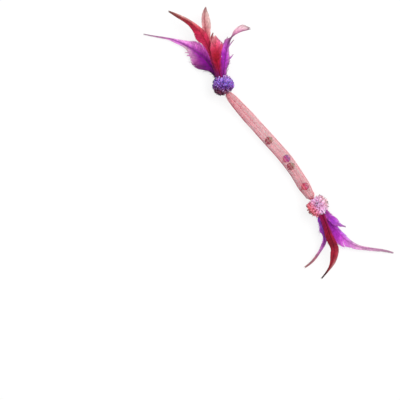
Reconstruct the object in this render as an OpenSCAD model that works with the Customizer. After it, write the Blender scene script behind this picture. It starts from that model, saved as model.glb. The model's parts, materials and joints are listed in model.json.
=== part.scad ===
// Soft cat toy: a mesh sleeve of rattling bells, with a tinsel pompom and a bunch of
// dyed feathers gathered into each end. Millimetres, +Z up, lying on a table at z = 0.
// The origin is on the table under the sleeve, where its long straight run meets its bend.

/* [Sleeve] */
// Straight run from the bend to the upper neck
upper_run = 96; // [80:1:120]
// Radius of the gentle bend
bend_r = 225; // [180:5:400]
// Length of the bend
bend_len = 42; // [40:1:60]
// Straight run from the bend to the lower neck
lower_run = 30.5; // [29:0.5:60]
// Width of the sleeve as it lies
sleeve_w = 15.8; // [15.6:0.2:18]
// Height of the sleeve as it lies
sleeve_h = 13; // [12.6:0.2:16]
// Thickness of the woven mesh
sleeve_wall = 0.6; // [0.4:0.1:0.8]
// Length over which the upper neck narrows
upper_taper = 60; // [40:1:70]
// Length over which the lower neck narrows
lower_taper = 19; // [16:1:20]
// Length over which the upper neck climbs to its pompom
upper_climb = 30; // [20:1:36]
// Length over which the lower neck climbs to its pompom
lower_climb = 15; // [10:1:16]

/* [Gathered ends] */
// Radius of the gathered, tied end of the sleeve
knot_r = 4.5; // [4:0.1:5]
// Running gap between the gathered end and the cup that it turns in
knot_gap = 0.3; // [0.2:0.05:0.5]
// Thickness of the lashing thread
thread_d = 0.7; // [0.5:0.1:0.8]
// Bend of the upper neck as the toy lies
upper_bend = 14; // [0:1:20]
// Bend of the lower neck as the toy lies
lower_bend = 6.5; // [0:0.5:20]

/* [Pompoms] */
// Radius of each pompom over its tinsel
pompom_r = 13.4; // [13:0.1:14]
// From the neck's pivot to the middle of the pompom
pompom_reach = 11.5; // [11.2:0.1:13]
// Radius of the tied waist that carries the tinsel
waist_r = 5.3; // [5.1:0.1:6]
// Length of the tied waist
waist_len = 7; // [6:0.5:9]
// Width of a tinsel strip at its end
strip_w = 1.4; // [0.8:0.1:1.6]
// Thickness of a tinsel strip at its end
strip_t = 0.5; // [0.3:0.1:0.8]
// Radius of the glue plug that holds the quills
plug_r = 3.6; // [3.2:0.1:3.8]
// Thickness of the wire tied round the plug
tie_d = 0.6; // [0.4:0.1:0.6]

/* [Bells] */
// Diameter of a bell
bell_d = 10; // [9:0.1:10]
// Thickness of a bell's shell
bell_wall = 0.5; // [0.4:0.05:0.8]
// Width of a bell's slits
slit_w = 0.9; // [0.6:0.1:1.2]
// Diameter of the drilled hole at the end of a slit
slit_hole_d = 1.6; // [1.4:0.1:1.8]
// Thickness of a bell's hanging loop
loop_wire_d = 0.7; // [0.5:0.1:0.8]
// Diameter of the steel pellet in a bell
pellet_d = 3; // [2.4:0.1:3.4]
// Running gap round a bell or a pellet
rattle_gap = 0.25; // [0.1:0.05:0.4]
// Place of the upper green bell along the sleeve, from the origin
upper_green_at = -18; // [-20:0.5:-9]
// Place of the violet bell along the sleeve
violet_at = 13.8; // [13:0.1:14]
// Place of the lower green bell along the sleeve
lower_green_at = 24.7; // [24.6:0.1:26]
// Place of the red bell along the sleeve, back from the lower neck
red_from_neck = 16.8; // [16.5:0.1:18.5]

/* [Quills] */
// Thickness of a quill where it is glued in
quill_d = 1.2; // [0.8:0.1:1.4]
// Length of bare quill from its seat in the glue to the first barbs
quill_len = 13.6; // [13.5:0.1:15]
// Thickness of a vane at its edge
vane_t = 0.35; // [0.2:0.05:0.5]

/* [Violet streamer, upper end] */
// Length of the vane, seen from above
violet_streamer_len = 111; // [94:1:122]
// Widest reach of the barbs on the left of the shaft
violet_streamer_left = 16.6; // [12.5:0.1:17.9]
// Widest reach of the barbs on the right of the shaft
violet_streamer_right = 12.5; // [9.4:0.1:13.5]
// Height of the shaft half way along
violet_streamer_mid_h = 5; // [4:0.5:6]
// Height of the tip
violet_streamer_tip_h = 2.5; // [1.5:0.5:4]

/* [Red streamer, upper end] */
// Length of the vane, seen from above
red_streamer_len = 106; // [90:1:116]
// Widest reach of the barbs on the left of the shaft
red_streamer_left = 8.6; // [6.4:0.1:9.3]
// Widest reach of the barbs on the right of the shaft
red_streamer_right = 6.3; // [4.7:0.1:6.8]
// Height of the shaft half way along
red_streamer_mid_h = 23; // [22:0.5:26]
// Height of the tip
red_streamer_tip_h = 20; // [16:0.5:24]

/* [Blush feather, upper end] */
// Length of the vane, seen from above
blush_feather_len = 87; // [73:1:95]
// Widest reach of the barbs on the left of the shaft
blush_feather_left = 4; // [3:0.1:4.3]
// Widest reach of the barbs on the right of the shaft
blush_feather_right = 6.8; // [5.1:0.1:7.3]
// Height of the shaft half way along
blush_feather_mid_h = 14.5; // [13:0.5:16]
// Height of the tip
blush_feather_tip_h = 22; // [18:0.5:28]

/* [Small red feather, upper end] */
// Length of the vane, seen from above
small_red_len = 55; // [46:1:60]
// Widest reach of the barbs on the left of the shaft
small_red_left = 2.9; // [2.2:0.1:3.1]
// Widest reach of the barbs on the right of the shaft
small_red_right = 2.8; // [2.1:0.1:3]
// Height of the shaft half way along
small_red_mid_h = 9.5; // [8.5:0.5:10]
// Height of the tip
small_red_tip_h = 9; // [7:0.5:10]

/* [Broad red feather, upper end] */
// Length of the vane, seen from above
broad_red_len = 48; // [40:1:52]
// Widest reach of the barbs on the left of the shaft
broad_red_left = 7.5; // [5.6:0.1:8.1]
// Widest reach of the barbs on the right of the shaft
broad_red_right = 8.8; // [6.6:0.1:9.5]
// Height of the shaft half way along
broad_red_mid_h = 25; // [24:0.5:28]
// Height of the tip
broad_red_tip_h = 33; // [30:0.5:38]

/* [Paddle feather, upper end] */
// Length of the vane, seen from above
paddle_len = 72; // [61:1:79]
// Widest reach of the barbs on the left of the shaft
paddle_left = 7.9; // [5.9:0.1:8.5]
// Widest reach of the barbs on the right of the shaft
paddle_right = 6.4; // [4.8:0.1:6.9]
// Height of the shaft half way along
paddle_mid_h = 17; // [16:0.5:18]
// Height of the tip
paddle_tip_h = 24; // [20:0.5:30]

/* [Violet hook, lower end] */
// Length of the vane, seen from above
violet_hook_len = 73; // [62:1:80]
// Widest reach of the barbs on the left of the shaft
violet_hook_left = 3.9; // [2.9:0.1:4.2]
// Widest reach of the barbs on the right of the shaft
violet_hook_right = 5.3; // [4:0.1:5.7]
// Height of the shaft half way along
violet_hook_mid_h = 9; // [8:0.5:9.5]
// Height of the tip
violet_hook_tip_h = 3; // [1.5:0.5:4]

/* [Crimson feather, lower end] */
// Length of the vane, seen from above
crimson_len = 85; // [72:1:93]
// Widest reach of the barbs on the left of the shaft
crimson_left = 5.8; // [4.3:0.1:6.3]
// Widest reach of the barbs on the right of the shaft
crimson_right = 6.5; // [4.9:0.1:7]
// Height of the shaft half way along
crimson_mid_h = 19; // [18:0.5:22]
// Height of the tip
crimson_tip_h = 12; // [9:0.5:16]

/* [Violet plume, lower end] */
// Length of the vane, seen from above
violet_plume_len = 105; // [89:1:115]
// Widest reach of the barbs on the left of the shaft
violet_plume_left = 5.7; // [4.3:0.1:6.2]
// Widest reach of the barbs on the right of the shaft
violet_plume_right = 9; // [6.8:0.1:9.7]
// Height of the shaft half way along
violet_plume_mid_h = 7.5; // [7:0.5:8.5]
// Height of the tip
violet_plume_tip_h = 3; // [1.5:0.5:4]

/* [Small violet feather, lower end] */
// Length of the vane, seen from above
small_violet_len = 30; // [25:1:33]
// Widest reach of the barbs on the left of the shaft
small_violet_left = 3.9; // [2.9:0.1:4.2]
// Widest reach of the barbs on the right of the shaft
small_violet_right = 4.6; // [3.4:0.1:5]
// Height of the shaft half way along
small_violet_mid_h = 15.5; // [15:0.5:16.5]
// Height of the tip
small_violet_tip_h = 20; // [18:0.5:22]

/* [Hidden] */

$fn = 48;
// One overrun for every cut
overrun = 1;

// The sleeve's centreline: straight, a bend to the right, then straight
bend_turn = bend_len / bend_r * 180 / PI;
upper_neck = -upper_run;
lower_neck = bend_len + lower_run;
bend_end = [bend_r * sin(bend_turn), -bend_r * (1 - cos(bend_turn))];

function aim(angle) = [cos(angle), sin(angle)];
function clamp01(t) = min(1, max(0, t));
function ease(t) = let (c = clamp01(t)) c * c * (3 - 2 * c);
function mix(a, b, t) = a + (b - a) * t;
function heading_at(s) = -bend_turn * clamp01(s / bend_len);
function plan_at(s) =
    s <= 0 ? [s, 0]
    : s <= bend_len ? let (a = -heading_at(s)) [bend_r * sin(a), -bend_r * (1 - cos(a))]
    : bend_end + (s - bend_len) * aim(-bend_turn);

// Height of the centreline: low along the table, climbing to the middle of each pompom
function climb_at(s) = max(1 - ease((s - upper_neck) / upper_climb),
    1 - ease((lower_neck - s) / lower_climb));
function height_at(s) = mix(sleeve_h / 2, pompom_r, climb_at(s));

// Half width of the sleeve: [place, half width], the first as shares of the gathered end
// or of the taper, the second as shares of knot_r or of half the sleeve's width
gather_shares = [[-0.93, 0.3], [-0.8, 0.5], [-0.62, 0.37], [-0.25, 0.37], [-0.06, 0.7],
    [0.18, 0.97], [0.5, 1.08]];
upper_taper_shares = [[0.05, 0.63], [0.13, 0.76], [0.25, 0.85], [0.375, 0.89], [0.5, 0.915],
    [0.633, 0.96], [1, 1]];
lower_taper_shares = [[0.13, 0.65], [0.24, 0.74], [0.4, 0.81], [0.6, 0.89], [1, 1]];
last_gather = len(gather_shares) - 1;
sleeve_start = gather_shares[last_gather][0] * knot_r;
sleeve_step = 6;
section_sides = 20;

function half_w_from(u, taper, shares) =
    u <= sleeve_start ? knot_r * lookup(u / knot_r, gather_shares)
    : max(knot_r * gather_shares[last_gather][1], sleeve_w / 2 * lookup(u / taper, shares));
function half_w_at(s) = min(half_w_from(s - upper_neck, upper_taper, upper_taper_shares),
    half_w_from(lower_neck - s, lower_taper, lower_taper_shares));

sleeve_span = lower_neck - upper_neck - 2 * sleeve_start;
sleeve_steps = ceil(sleeve_span / sleeve_step);
ring_places = concat(
    [for (g = gather_shares) upper_neck + g[0] * knot_r],
    [for (i = [1 : sleeve_steps - 1]) upper_neck + sleeve_start + i * sleeve_span / sleeve_steps],
    [for (i = [last_gather : -1 : 0]) lower_neck - gather_shares[i][0] * knot_r]);

// Depth of the pleats, deepest just outside each gathered end
pleat_share = 0.13;
pleat_end_share = 4.5;
function pleat_at(s) = let (u = min(s - upper_neck, lower_neck - s) / knot_r)
    pleat_share * ease(2 * u) * (1 - ease(u / pleat_end_share));

// An upright oval ring across the centreline, with a flat side down
function ring_at(s, inset) =
    let (p = plan_at(s), h = heading_at(s), across = [-sin(h), cos(h)], w = half_w_at(s) - inset,
        tall = (min(half_w_at(s), sleeve_h / 2) - inset) / cos(180 / section_sides))
    [for (j = [0 : section_sides - 1])
        let (a = (j + 0.5) * 360 / section_sides, pleat = 1 - (j % 2) * pleat_at(s))
        [p[0] + across[0] * w * cos(a) * pleat, p[1] + across[1] * w * cos(a) * pleat,
            height_at(s) + tall * sin(a) * pleat]];

// Closed faces round a loop of rings, so that the last ring meets the first
function loop_faces(rings, sides) = [for (k = [0 : rings - 1], j = [0 : sides - 1])
    let (n = (k + 1) % rings, i = (j + 1) % sides)
    each [[k * sides + j, n * sides + j, n * sides + i], [k * sides + j, n * sides + i, k * sides + i]]];

module mesh_sleeve() {
    outer = [for (s = ring_places) ring_at(s, 0)];
    inner = [for (k = [len(ring_places) - 1 : -1 : 0]) ring_at(ring_places[k], sleeve_wall)];
    rings = concat(outer, inner);
    color("pink")
    polyhedron([for (r = rings) each r], loop_faces(len(rings), section_sides));
}

// The frame of a neck: x runs out along the sleeve towards the pompom
module at_upper_neck() {
    p = plan_at(upper_neck);
    translate([p[0], p[1], pompom_r]) rotate(180) children();
}

module at_lower_neck() {
    p = plan_at(lower_neck);
    translate([p[0], p[1], pompom_r]) rotate(heading_at(lower_neck)) children();
}

// Three turns of thread, drawn tight round the gathered end
lashing_turns = 3;
lashing_pitch_share = 0.7;
lashing_gap = 0.05;
lashing_middle_share = 0.435;

module lashing() {
    pitch = thread_d * lashing_pitch_share;
    ring_r = gather_shares[3][1] * knot_r + lashing_gap + thread_d / 2;
    color("hotpink")
    translate([lashing_middle_share * knot_r, 0, 0]) rotate([0, 90, 0])
    rotate_extrude() for (i = [0 : lashing_turns - 1])
        translate([ring_r, (i - (lashing_turns - 1) / 2) * pitch]) circle(d = thread_d);
}

module upper_lashing() {
    at_upper_neck() lashing();
}

module lower_lashing() {
    at_lower_neck() lashing();
}

// The frame of a pompom: origin at its middle, x out towards the feathers
module at_upper_pompom() {
    at_upper_neck() rotate(-upper_bend) translate([pompom_reach, 0, 0]) children();
}

module at_lower_pompom() {
    at_lower_neck() rotate(lower_bend) translate([pompom_reach, 0, 0]) children();
}

// Glue plug: a round bar with a domed end and a cup that the gathered end turns in
cup_r = knot_r + knot_gap;
plug_end = 5.5;
plug_dome_r = 6;

module glue_plug() {
    color("ivory") difference() {
        intersection() {
            translate([-pompom_reach, 0, 0]) rotate([0, 90, 0])
                cylinder(r = plug_r, h = pompom_reach + plug_end);
            translate([plug_end - plug_dome_r, 0, 0]) rotate([0, 90, 0]) union() {
                sphere(r = plug_dome_r);
                translate([0, 0, -pompom_reach - plug_dome_r])
                    cylinder(r = plug_dome_r, h = pompom_reach + plug_dome_r);
            }
        }
        translate([-pompom_reach, 0, 0]) sphere(r = cup_r);
    }
}

// Wire tied round the plug, inside the tinsel's waist
tie_turns = 4;
tie_pitch_share = 0.8;
tie_gap = 0.1;
tie_ring_r = plug_r + tie_gap + tie_d / 2;

module pompom_tie() {
    color("silver") rotate([0, 90, 0])
    rotate_extrude() for (i = [0 : tie_turns - 1])
        translate([tie_ring_r, (i - (tie_turns - 1) / 2) * tie_d * tie_pitch_share])
            circle(d = tie_d);
}

// Tinsel: strips that stand out all round a tied waist, 9 rows of 27
strip_rows = 9;
strips_round = 27;
hole_r = (tie_ring_r + tie_d / 2 + tie_gap) / cos(180 / strips_round);
first_lean = 33;
lean_jitter = 4;
reach_jitter_share = 0.06;
// Strips that a quill blocks are cut to stubs that stand clear of it
stub_share = 1.15;
stub_lean = 55;
waist_belly_share = 0.06;

function waist_point(i, j) =
    let (a = (j + (i % 2) / 2) * 360 / strips_round,
        r = waist_r * (1 + waist_belly_share * sin(180 * i / strip_rows)))
    [waist_len * (i / strip_rows - 0.5), r * cos(a), r * sin(a)];

// Direction of a strip: its angle from the feathers' side of the axis, and round the axis
function lean_at(i, wobble) =
    180 - first_lean - (180 - 2 * first_lean) * (i + 0.5) / strip_rows + lean_jitter * wobble;
function round_at(i, j) = (j + 0.5 + (i % 2 + (i + 1) % 2) / 4) * 360 / strips_round;
function out_along(lean, round) = [cos(lean), sin(lean) * cos(round), sin(lean) * sin(round)];

function gap_to(p, a, b) =
    let (d = b - a, t = clamp01((p - a) * d / (d * d))) norm(p - a - d * t);
function clear_of(from, to, quills, room) = min([for (q = quills, t = [0.2 : 0.2 : 1])
    gap_to(mix(from, to, t), q[0], q[1])]) > room;

function strip_tip(i, j, wobbles, quills) =
    let (lean = lean_at(i, wobbles[0]), round = round_at(i, j),
        dir = out_along(lean, round),
        full = pompom_r * (1 - reach_jitter_share * wobbles[1]),
        free = clear_of(waist_point(i, j), dir * full, quills, strip_w / 2 + quill_d),
        tip = free ? dir * full
            : out_along(max(lean, stub_lean), round) * norm(waist_point(i, j)) * stub_share,
        wide = (free ? strip_w : strip_t) / 2 * [0, -sin(round), cos(round)],
        thick = strip_t / 2 * [-sin(lean), cos(lean) * cos(round), cos(lean) * sin(round)])
    [tip - wide + thick, tip + wide + thick, tip + wide - thick, tip - wide - thick];

module pompom(tint, seed, quills) {
    leans = rands(-1, 1, strip_rows * strips_round, seed);
    reaches = rands(0, 1, strip_rows * strips_round, seed + 1);
    base = [for (i = [0 : strip_rows], j = [0 : strips_round - 1]) waist_point(i, j)];
    tips = [for (i = [0 : strip_rows - 1], j = [0 : strips_round - 1])
        let (k = i * strips_round + j) each strip_tip(i, j, [leans[k], reaches[k]], quills)];
    bore = [for (i = [0, strip_rows], j = [0 : strips_round - 1])
        let (p = waist_point(i, j), a = hole_r / norm([p[1], p[2]])) [p[0], p[1] * a, p[2] * a]];
    tip_at = len(base);
    bore_at = tip_at + len(tips);
    strips = [for (i = [0 : strip_rows - 1], j = [0 : strips_round - 1])
        let (n = (j + 1) % strips_round,
            low = [i * strips_round + j, i * strips_round + n,
                (i + 1) * strips_round + n, (i + 1) * strips_round + j],
            top = [for (c = [0 : 3]) tip_at + (i * strips_round + j) * 4 + c])
        each concat([for (c = [0 : 3]) let (d = (c + 1) % 4) each
            [[low[c], top[d], low[d]], [low[c], top[c], top[d]]]],
            [[top[0], top[2], top[1]], [top[0], top[3], top[2]]])];
    walls = [for (j = [0 : strips_round - 1]) let (n = (j + 1) % strips_round,
            last = strip_rows * strips_round, a = bore_at + j, b = bore_at + n,
            c = bore_at + strips_round + j, d = bore_at + strips_round + n)
        each [[a, n, b], [a, j, n], [b, c, a], [b, d, c],
            [d, last + j, c], [d, last + n, last + j]]];
    color(tint) polyhedron(concat(base, tips, bore), concat(strips, walls));
}

// A feather's outline follows tables read from its first barbs to its tip
vane_steps = 24;
foot_share = 0.96;
notch_share = 0.12;
camber_share = 0.1;
tip_thin_share = 0.3;

function table_at(t, table) =
    let (x = clamp01(t) * (len(table) - 1), i = min(floor(x), len(table) - 2))
    mix(table[i], table[i + 1], x - i);

// Sizes: length, left and right reach, middle and tip height. Angles: the quill's heading,
// then the vane's. Shares: the seat's place across and up, then the left and right reaches
function vane_headings(angles) = [for (i = [1 : len(angles) - 1]) angles[i]];

// Seats lie in the glue plug, past the tie, at shares of its radius across and up
seat_x = tie_turns / 2 * tie_d + tie_gap;
function seat_of(shares) = [seat_x, shares[0] * plug_r];

// The shaft seen from above: a straight quill, then steps along the headings
function shaft_plan(sizes, angles, shares) =
    let (seat = seat_of(shares[0]), quill = quill_len * aim(angles[0]), headings = vane_headings(angles),
        step = sizes[0] / vane_steps)
    concat([seat, seat + foot_share * quill], [for (i = 0, p = seat + quill; i <= vane_steps;
        p = p + step * aim(table_at((i + 0.5) / vane_steps, headings)), i = i + 1) p]);

// Its height above the table, an arc through the seat, the middle and the tip
function shaft_height(t, seat_h, mid_h, tip_h) =
    let (pull = 2 * mid_h - (seat_h + tip_h) / 2)
    (1 - t) * (1 - t) * seat_h + 2 * t * (1 - t) * pull + t * t * tip_h;

function shaft(sizes, angles, shares) =
    let (plan = shaft_plan(sizes, angles, shares), total = quill_len + sizes[0],
        seat_h = pompom_r + shares[0][1] * plug_r)
    [for (k = [0 : len(plan) - 1])
        let (far = k < 2 ? k * foot_share * quill_len : quill_len + (k - 2) * sizes[0] / vane_steps)
        [plan[k][0], plan[k][1], shaft_height(far / total, seat_h, sizes[3], sizes[4]) - pompom_r]];

function vane_section(p, heading, left, right, t) =
    let (side = [-sin(heading), cos(heading)], s = quill_d / 2 * mix(1, tip_thin_share, t),
        e = min(s * 0.8, vane_t / 2), l = max(left, s), r = max(right, s),
        spots = [[l, -e - camber_share * l], [0, -s], [-r, -e - camber_share * r],
            [-r, e - camber_share * r], [0, s], [l, e - camber_share * l]])
    [for (q = spots) p + [side[0] * q[0], side[1] * q[0], q[1]]];

module feather(tint, sizes, angles, shares) {
    line = shaft(sizes, angles, shares);
    last = len(line) - 1;
    rings = [for (k = [0 : last])
        let (v = max(0, k - 2) / vane_steps, barbs = k < 2 ? 0 : 1 - notch_share * (k % 2),
            left = sizes[1] * barbs * table_at(v, shares[1]),
            right = sizes[2] * barbs * table_at(v, shares[2]))
        vane_section(line[k], k < 2 ? angles[0] : table_at(v, vane_headings(angles)), left, right, v)];
    sides = len(rings[0]);
    faces = concat(
        [for (k = [0 : last - 1], j = [0 : sides - 1]) let (i = (j + 1) % sides)
            each [[k * sides + j, k * sides + i, (k + 1) * sides + i],
                [k * sides + j, (k + 1) * sides + i, (k + 1) * sides + j]]],
        [for (j = [1 : sides - 2]) [0, j + 1, j]],
        [for (j = [1 : sides - 2]) [last * sides, last * sides + j, last * sides + j + 1]]);
    color(tint) polyhedron([for (r = rings) each r], faces);
}

// Upper bunch: headings are degrees from the pompom's axis, positive to the left
violet_streamer_sizes = [violet_streamer_len, violet_streamer_left, violet_streamer_right,
    violet_streamer_mid_h, violet_streamer_tip_h];
violet_streamer_angles = [2, -4, 15, 27, 40, 54, 50];
violet_streamer_shares = [[0.35, -0.68],
    [0.15, 0.25, 0.65, 1, 0.6, 0.2, 0.2, 0.12, 0.1, 0.07, 0.05],
    [0.2, 0.3, 0.7, 1, 1, 0.45, 0.2, 0.08, 0.04, 0.04, 0.02]];
red_streamer_sizes = [red_streamer_len, red_streamer_left, red_streamer_right, red_streamer_mid_h,
    red_streamer_tip_h];
red_streamer_angles = [-5, -10, -9, -5, 18, 34, 33];
red_streamer_shares = [[0.22, 0.3],
    [0.35, 0.3, 0.25, 0.35, 0.8, 1, 0.45, 0.35, 0.3, 0.25, 0.1],
    [0.3, 0.35, 0.4, 0.5, 0.75, 1, 0.55, 0.35, 0.25, 0.2, 0.05]];
blush_feather_sizes = [blush_feather_len, blush_feather_left, blush_feather_right,
    blush_feather_mid_h, blush_feather_tip_h];
blush_feather_angles = [-6, -10, -10, -9, -18, -24, -42];
blush_feather_shares = [[0, -0.15],
    [0.8, 0.75, 0.7, 0.75, 0.8, 0.85, 0.9, 1, 1, 0.95, 0.3],
    [0.45, 0.4, 0.35, 0.3, 0.35, 0.5, 0.7, 0.95, 1, 0.7, 0.15]];
small_red_sizes = [small_red_len, small_red_left, small_red_right, small_red_mid_h,
    small_red_tip_h];
small_red_angles = [-7, -11, -11, -14, -16, -22, -54];
small_red_shares = [[-0.28, -0.62],
    [1, 0.9, 0.8, 0.8, 0.75, 0.7, 0.6, 0.25],
    [1, 1, 1, 1, 0.95, 0.9, 0.65, 0.3]];
broad_red_sizes = [broad_red_len, broad_red_left, broad_red_right, broad_red_mid_h,
    broad_red_tip_h];
broad_red_angles = [-9, -14, -18, -21, -25, -23, -21];
broad_red_shares = [[-0.2, 0.78],
    [0.55, 0.55, 0.6, 0.65, 0.7, 0.8, 0.9, 0.95, 1, 0.85, 0.1],
    [0.4, 0.4, 0.45, 0.5, 0.6, 0.7, 0.8, 1, 1, 0.4, 0.05]];
paddle_sizes = [paddle_len, paddle_left, paddle_right, paddle_mid_h, paddle_tip_h];
paddle_angles = [-24, -33, -34, -36, -41, -53, -87, -105, -105];
paddle_shares = [[-0.75, 0.1],
    [0.5, 0.6, 0.65, 0.75, 0.8, 0.8, 0.85, 0.85, 0.8, 0.65, 0.3, 0.1, 0.12, 0.35, 0.7, 1, 1, 0.55, 0.1],
    [0.55, 0.55, 0.75, 0.95, 1, 0.8, 0.6, 0.45, 0.35, 0.3, 0.2, 0.1, 0.12, 0.15, 0.12, 0.1, 0.08, 0.08,
        0.05]];

// Lower bunch
violet_hook_sizes = [violet_hook_len, violet_hook_left, violet_hook_right, violet_hook_mid_h,
    violet_hook_tip_h];
violet_hook_angles = [-19, -23, -20, -46, -70, -79, -99];
violet_hook_shares = [[-0.6, -0.05],
    [0.9, 1, 0.85, 0.65, 0.5, 0.25, 0.15, 0.25, 0.3, 0.2, 0.15],
    [0.55, 0.5, 1, 0.7, 0.4, 0.5, 0.4, 0.3, 0.25, 0.25, 0.2]];
crimson_sizes = [crimson_len, crimson_left, crimson_right, crimson_mid_h, crimson_tip_h];
crimson_angles = [-9, -16, -19, -17, -49, -67, -79];
crimson_shares = [[-0.15, 0.25],
    [0.75, 0.75, 0.7, 0.6, 0.75, 1, 0.95, 0.85, 0.35, 0.12, 0.08],
    [0.6, 0.45, 0.5, 0.85, 1, 0.65, 0.7, 0.35, 0.1, 0.07, 0.05]];
violet_plume_sizes = [violet_plume_len, violet_plume_left, violet_plume_right, violet_plume_mid_h,
    violet_plume_tip_h];
violet_plume_angles = [0, -4, -1, 13, 42, 46, 34];
violet_plume_shares = [[0.2, -0.62],
    [1, 0.9, 0.75, 0.8, 0.75, 0.5, 0.25, 0.22, 0.22, 0.15, 0.12],
    [0.6, 0.7, 0.85, 1, 0.65, 0.3, 0.24, 0.18, 0.12, 0.12, 0.08]];
small_violet_sizes = [small_violet_len, small_violet_left, small_violet_right, small_violet_mid_h,
    small_violet_tip_h];
small_violet_angles = [4, 6, 7, 10, 19, 31, 32];
small_violet_shares = [[0.55, 0.1],
    [1, 0.95, 0.9, 1, 0.9, 0.6, 0.35, 0.1],
    [0.9, 1, 1, 1, 0.9, 0.6, 0.25, 0.1]];

// The stretches of shaft that the tinsel has to leave room for
function quill_line(sizes, angles, shares) = let (line = shaft(sizes, angles, shares)) [line[0], line[2]];
upper_quills = [quill_line(violet_streamer_sizes, violet_streamer_angles, violet_streamer_shares),
    quill_line(red_streamer_sizes, red_streamer_angles, red_streamer_shares),
    quill_line(blush_feather_sizes, blush_feather_angles, blush_feather_shares),
    quill_line(small_red_sizes, small_red_angles, small_red_shares),
    quill_line(broad_red_sizes, broad_red_angles, broad_red_shares),
    quill_line(paddle_sizes, paddle_angles, paddle_shares)];
lower_quills = [quill_line(violet_hook_sizes, violet_hook_angles, violet_hook_shares),
    quill_line(crimson_sizes, crimson_angles, crimson_shares),
    quill_line(violet_plume_sizes, violet_plume_angles, violet_plume_shares),
    quill_line(small_violet_sizes, small_violet_angles, small_violet_shares)];

module upper_glue_plug() {
    at_upper_pompom() glue_plug();
}

module lower_glue_plug() {
    at_lower_pompom() glue_plug();
}

module upper_pompom_tie() {
    at_upper_pompom() pompom_tie();
}

module lower_pompom_tie() {
    at_lower_pompom() pompom_tie();
}

module upper_pompom() {
    at_upper_pompom() pompom("mediumpurple", 11, upper_quills);
}

module lower_pompom() {
    at_lower_pompom() pompom("hotpink", 23, lower_quills);
}

module upper_violet_streamer() {
    at_upper_pompom()
        feather("darkorchid", violet_streamer_sizes, violet_streamer_angles, violet_streamer_shares);
}

module upper_red_streamer() {
    at_upper_pompom() feather("crimson", red_streamer_sizes, red_streamer_angles, red_streamer_shares);
}

module upper_blush_feather() {
    at_upper_pompom() feather("lightpink", blush_feather_sizes, blush_feather_angles, blush_feather_shares);
}

module upper_small_red_feather() {
    at_upper_pompom() feather("indianred", small_red_sizes, small_red_angles, small_red_shares);
}

module upper_broad_red_feather() {
    at_upper_pompom() feather("firebrick", broad_red_sizes, broad_red_angles, broad_red_shares);
}

module upper_paddle_feather() {
    at_upper_pompom() feather("mediumorchid", paddle_sizes, paddle_angles, paddle_shares);
}

module lower_violet_hook_feather() {
    at_lower_pompom() feather("mediumorchid", violet_hook_sizes, violet_hook_angles, violet_hook_shares);
}

module lower_crimson_feather() {
    at_lower_pompom() feather("darkred", crimson_sizes, crimson_angles, crimson_shares);
}

module lower_violet_plume() {
    at_lower_pompom() feather("darkorchid", violet_plume_sizes, violet_plume_angles, violet_plume_shares);
}

module lower_small_violet_feather() {
    at_lower_pompom() feather("orchid", small_violet_sizes, small_violet_angles, small_violet_shares);
}

// Bells: a round shell with a seam rib, crossed slits on one side and a loop on the other
seam_r = 0.2;
slit_span_share = 0.78;
loop_r = 1.3;
loop_sink = 0.15;
bell_side_shift = 0.9;
bell_h = sleeve_wall + rattle_gap + bell_d / 2 + seam_r;
pellet_orbit = bell_d / 2 - bell_wall - pellet_d / 2 - rattle_gap;
red_at = lower_neck - red_from_neck;

// A place in the sleeve: x along the sleeve, y across it
module in_sleeve(s, shift) {
    p = plan_at(s);
    translate([p[0], p[1], bell_h]) rotate(heading_at(s)) translate([0, shift, 0]) children();
}

// The loop stands out along y
module bell_shell() {
    difference() {
        union() {
            sphere(d = bell_d);
            rotate([90, 0, 0]) rotate_extrude() translate([bell_d / 2, 0]) circle(r = seam_r);
        }
        sphere(d = bell_d - 2 * bell_wall);
        for (turn = [0, 90]) rotate([0, turn, 0]) slit();
    }
    translate([0, bell_d / 2 - loop_sink, 0])
        rotate_extrude(angle = 180) translate([loop_r, 0]) circle(d = loop_wire_d);
}

// One slit with a drilled hole at each end, cut through the side away from the loop
module slit() {
    span = bell_d * slit_span_share;
    translate([-span / 2, -bell_d / 2 - overrun, -slit_w / 2]) cube([span, bell_d / 2, slit_w]);
    for (side = [-1, 1]) translate([side * span / 2, 0, 0]) rotate([90, 0, 0])
        cylinder(d = slit_hole_d, h = bell_d / 2 + overrun);
}

module bell(tint, s, side, tilt) {
    color(tint) in_sleeve(s, -side * bell_side_shift)
        rotate([side * tilt, 0, 0]) rotate(side > 0 ? 0 : 180) bell_shell();
}

module pellet(s, side) {
    color("silver") in_sleeve(s, -side * bell_side_shift)
        translate([0, 0, -pellet_orbit]) sphere(d = pellet_d);
}

// Side that each loop points to, and how far its slits tip up
module upper_green_bell() {
    bell("mediumseagreen", upper_green_at, 1, -20);
}

module upper_green_pellet() {
    pellet(upper_green_at, 1);
}

module violet_bell() {
    bell("slateblue", violet_at, -1, -20);
}

module violet_pellet() {
    pellet(violet_at, -1);
}

module lower_green_bell() {
    bell("mediumseagreen", lower_green_at, 1, -20);
}

module lower_green_pellet() {
    pellet(lower_green_at, 1);
}

module red_bell() {
    bell("crimson", red_at, -1, -20);
}

module red_pellet() {
    pellet(red_at, -1);
}

mesh_sleeve();
upper_lashing();
lower_lashing();
upper_glue_plug();
upper_pompom_tie();
upper_pompom();
upper_violet_streamer();
upper_red_streamer();
upper_blush_feather();
upper_small_red_feather();
upper_broad_red_feather();
upper_paddle_feather();
lower_glue_plug();
lower_pompom_tie();
lower_pompom();
lower_violet_hook_feather();
lower_crimson_feather();
lower_violet_plume();
lower_small_violet_feather();
upper_green_bell();
upper_green_pellet();
violet_bell();
violet_pellet();
lower_green_bell();
lower_green_pellet();
red_bell();
red_pellet();
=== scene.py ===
import json
import math

import bmesh
import bpy
import numpy as np
from mathutils import Matrix, Vector


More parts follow.
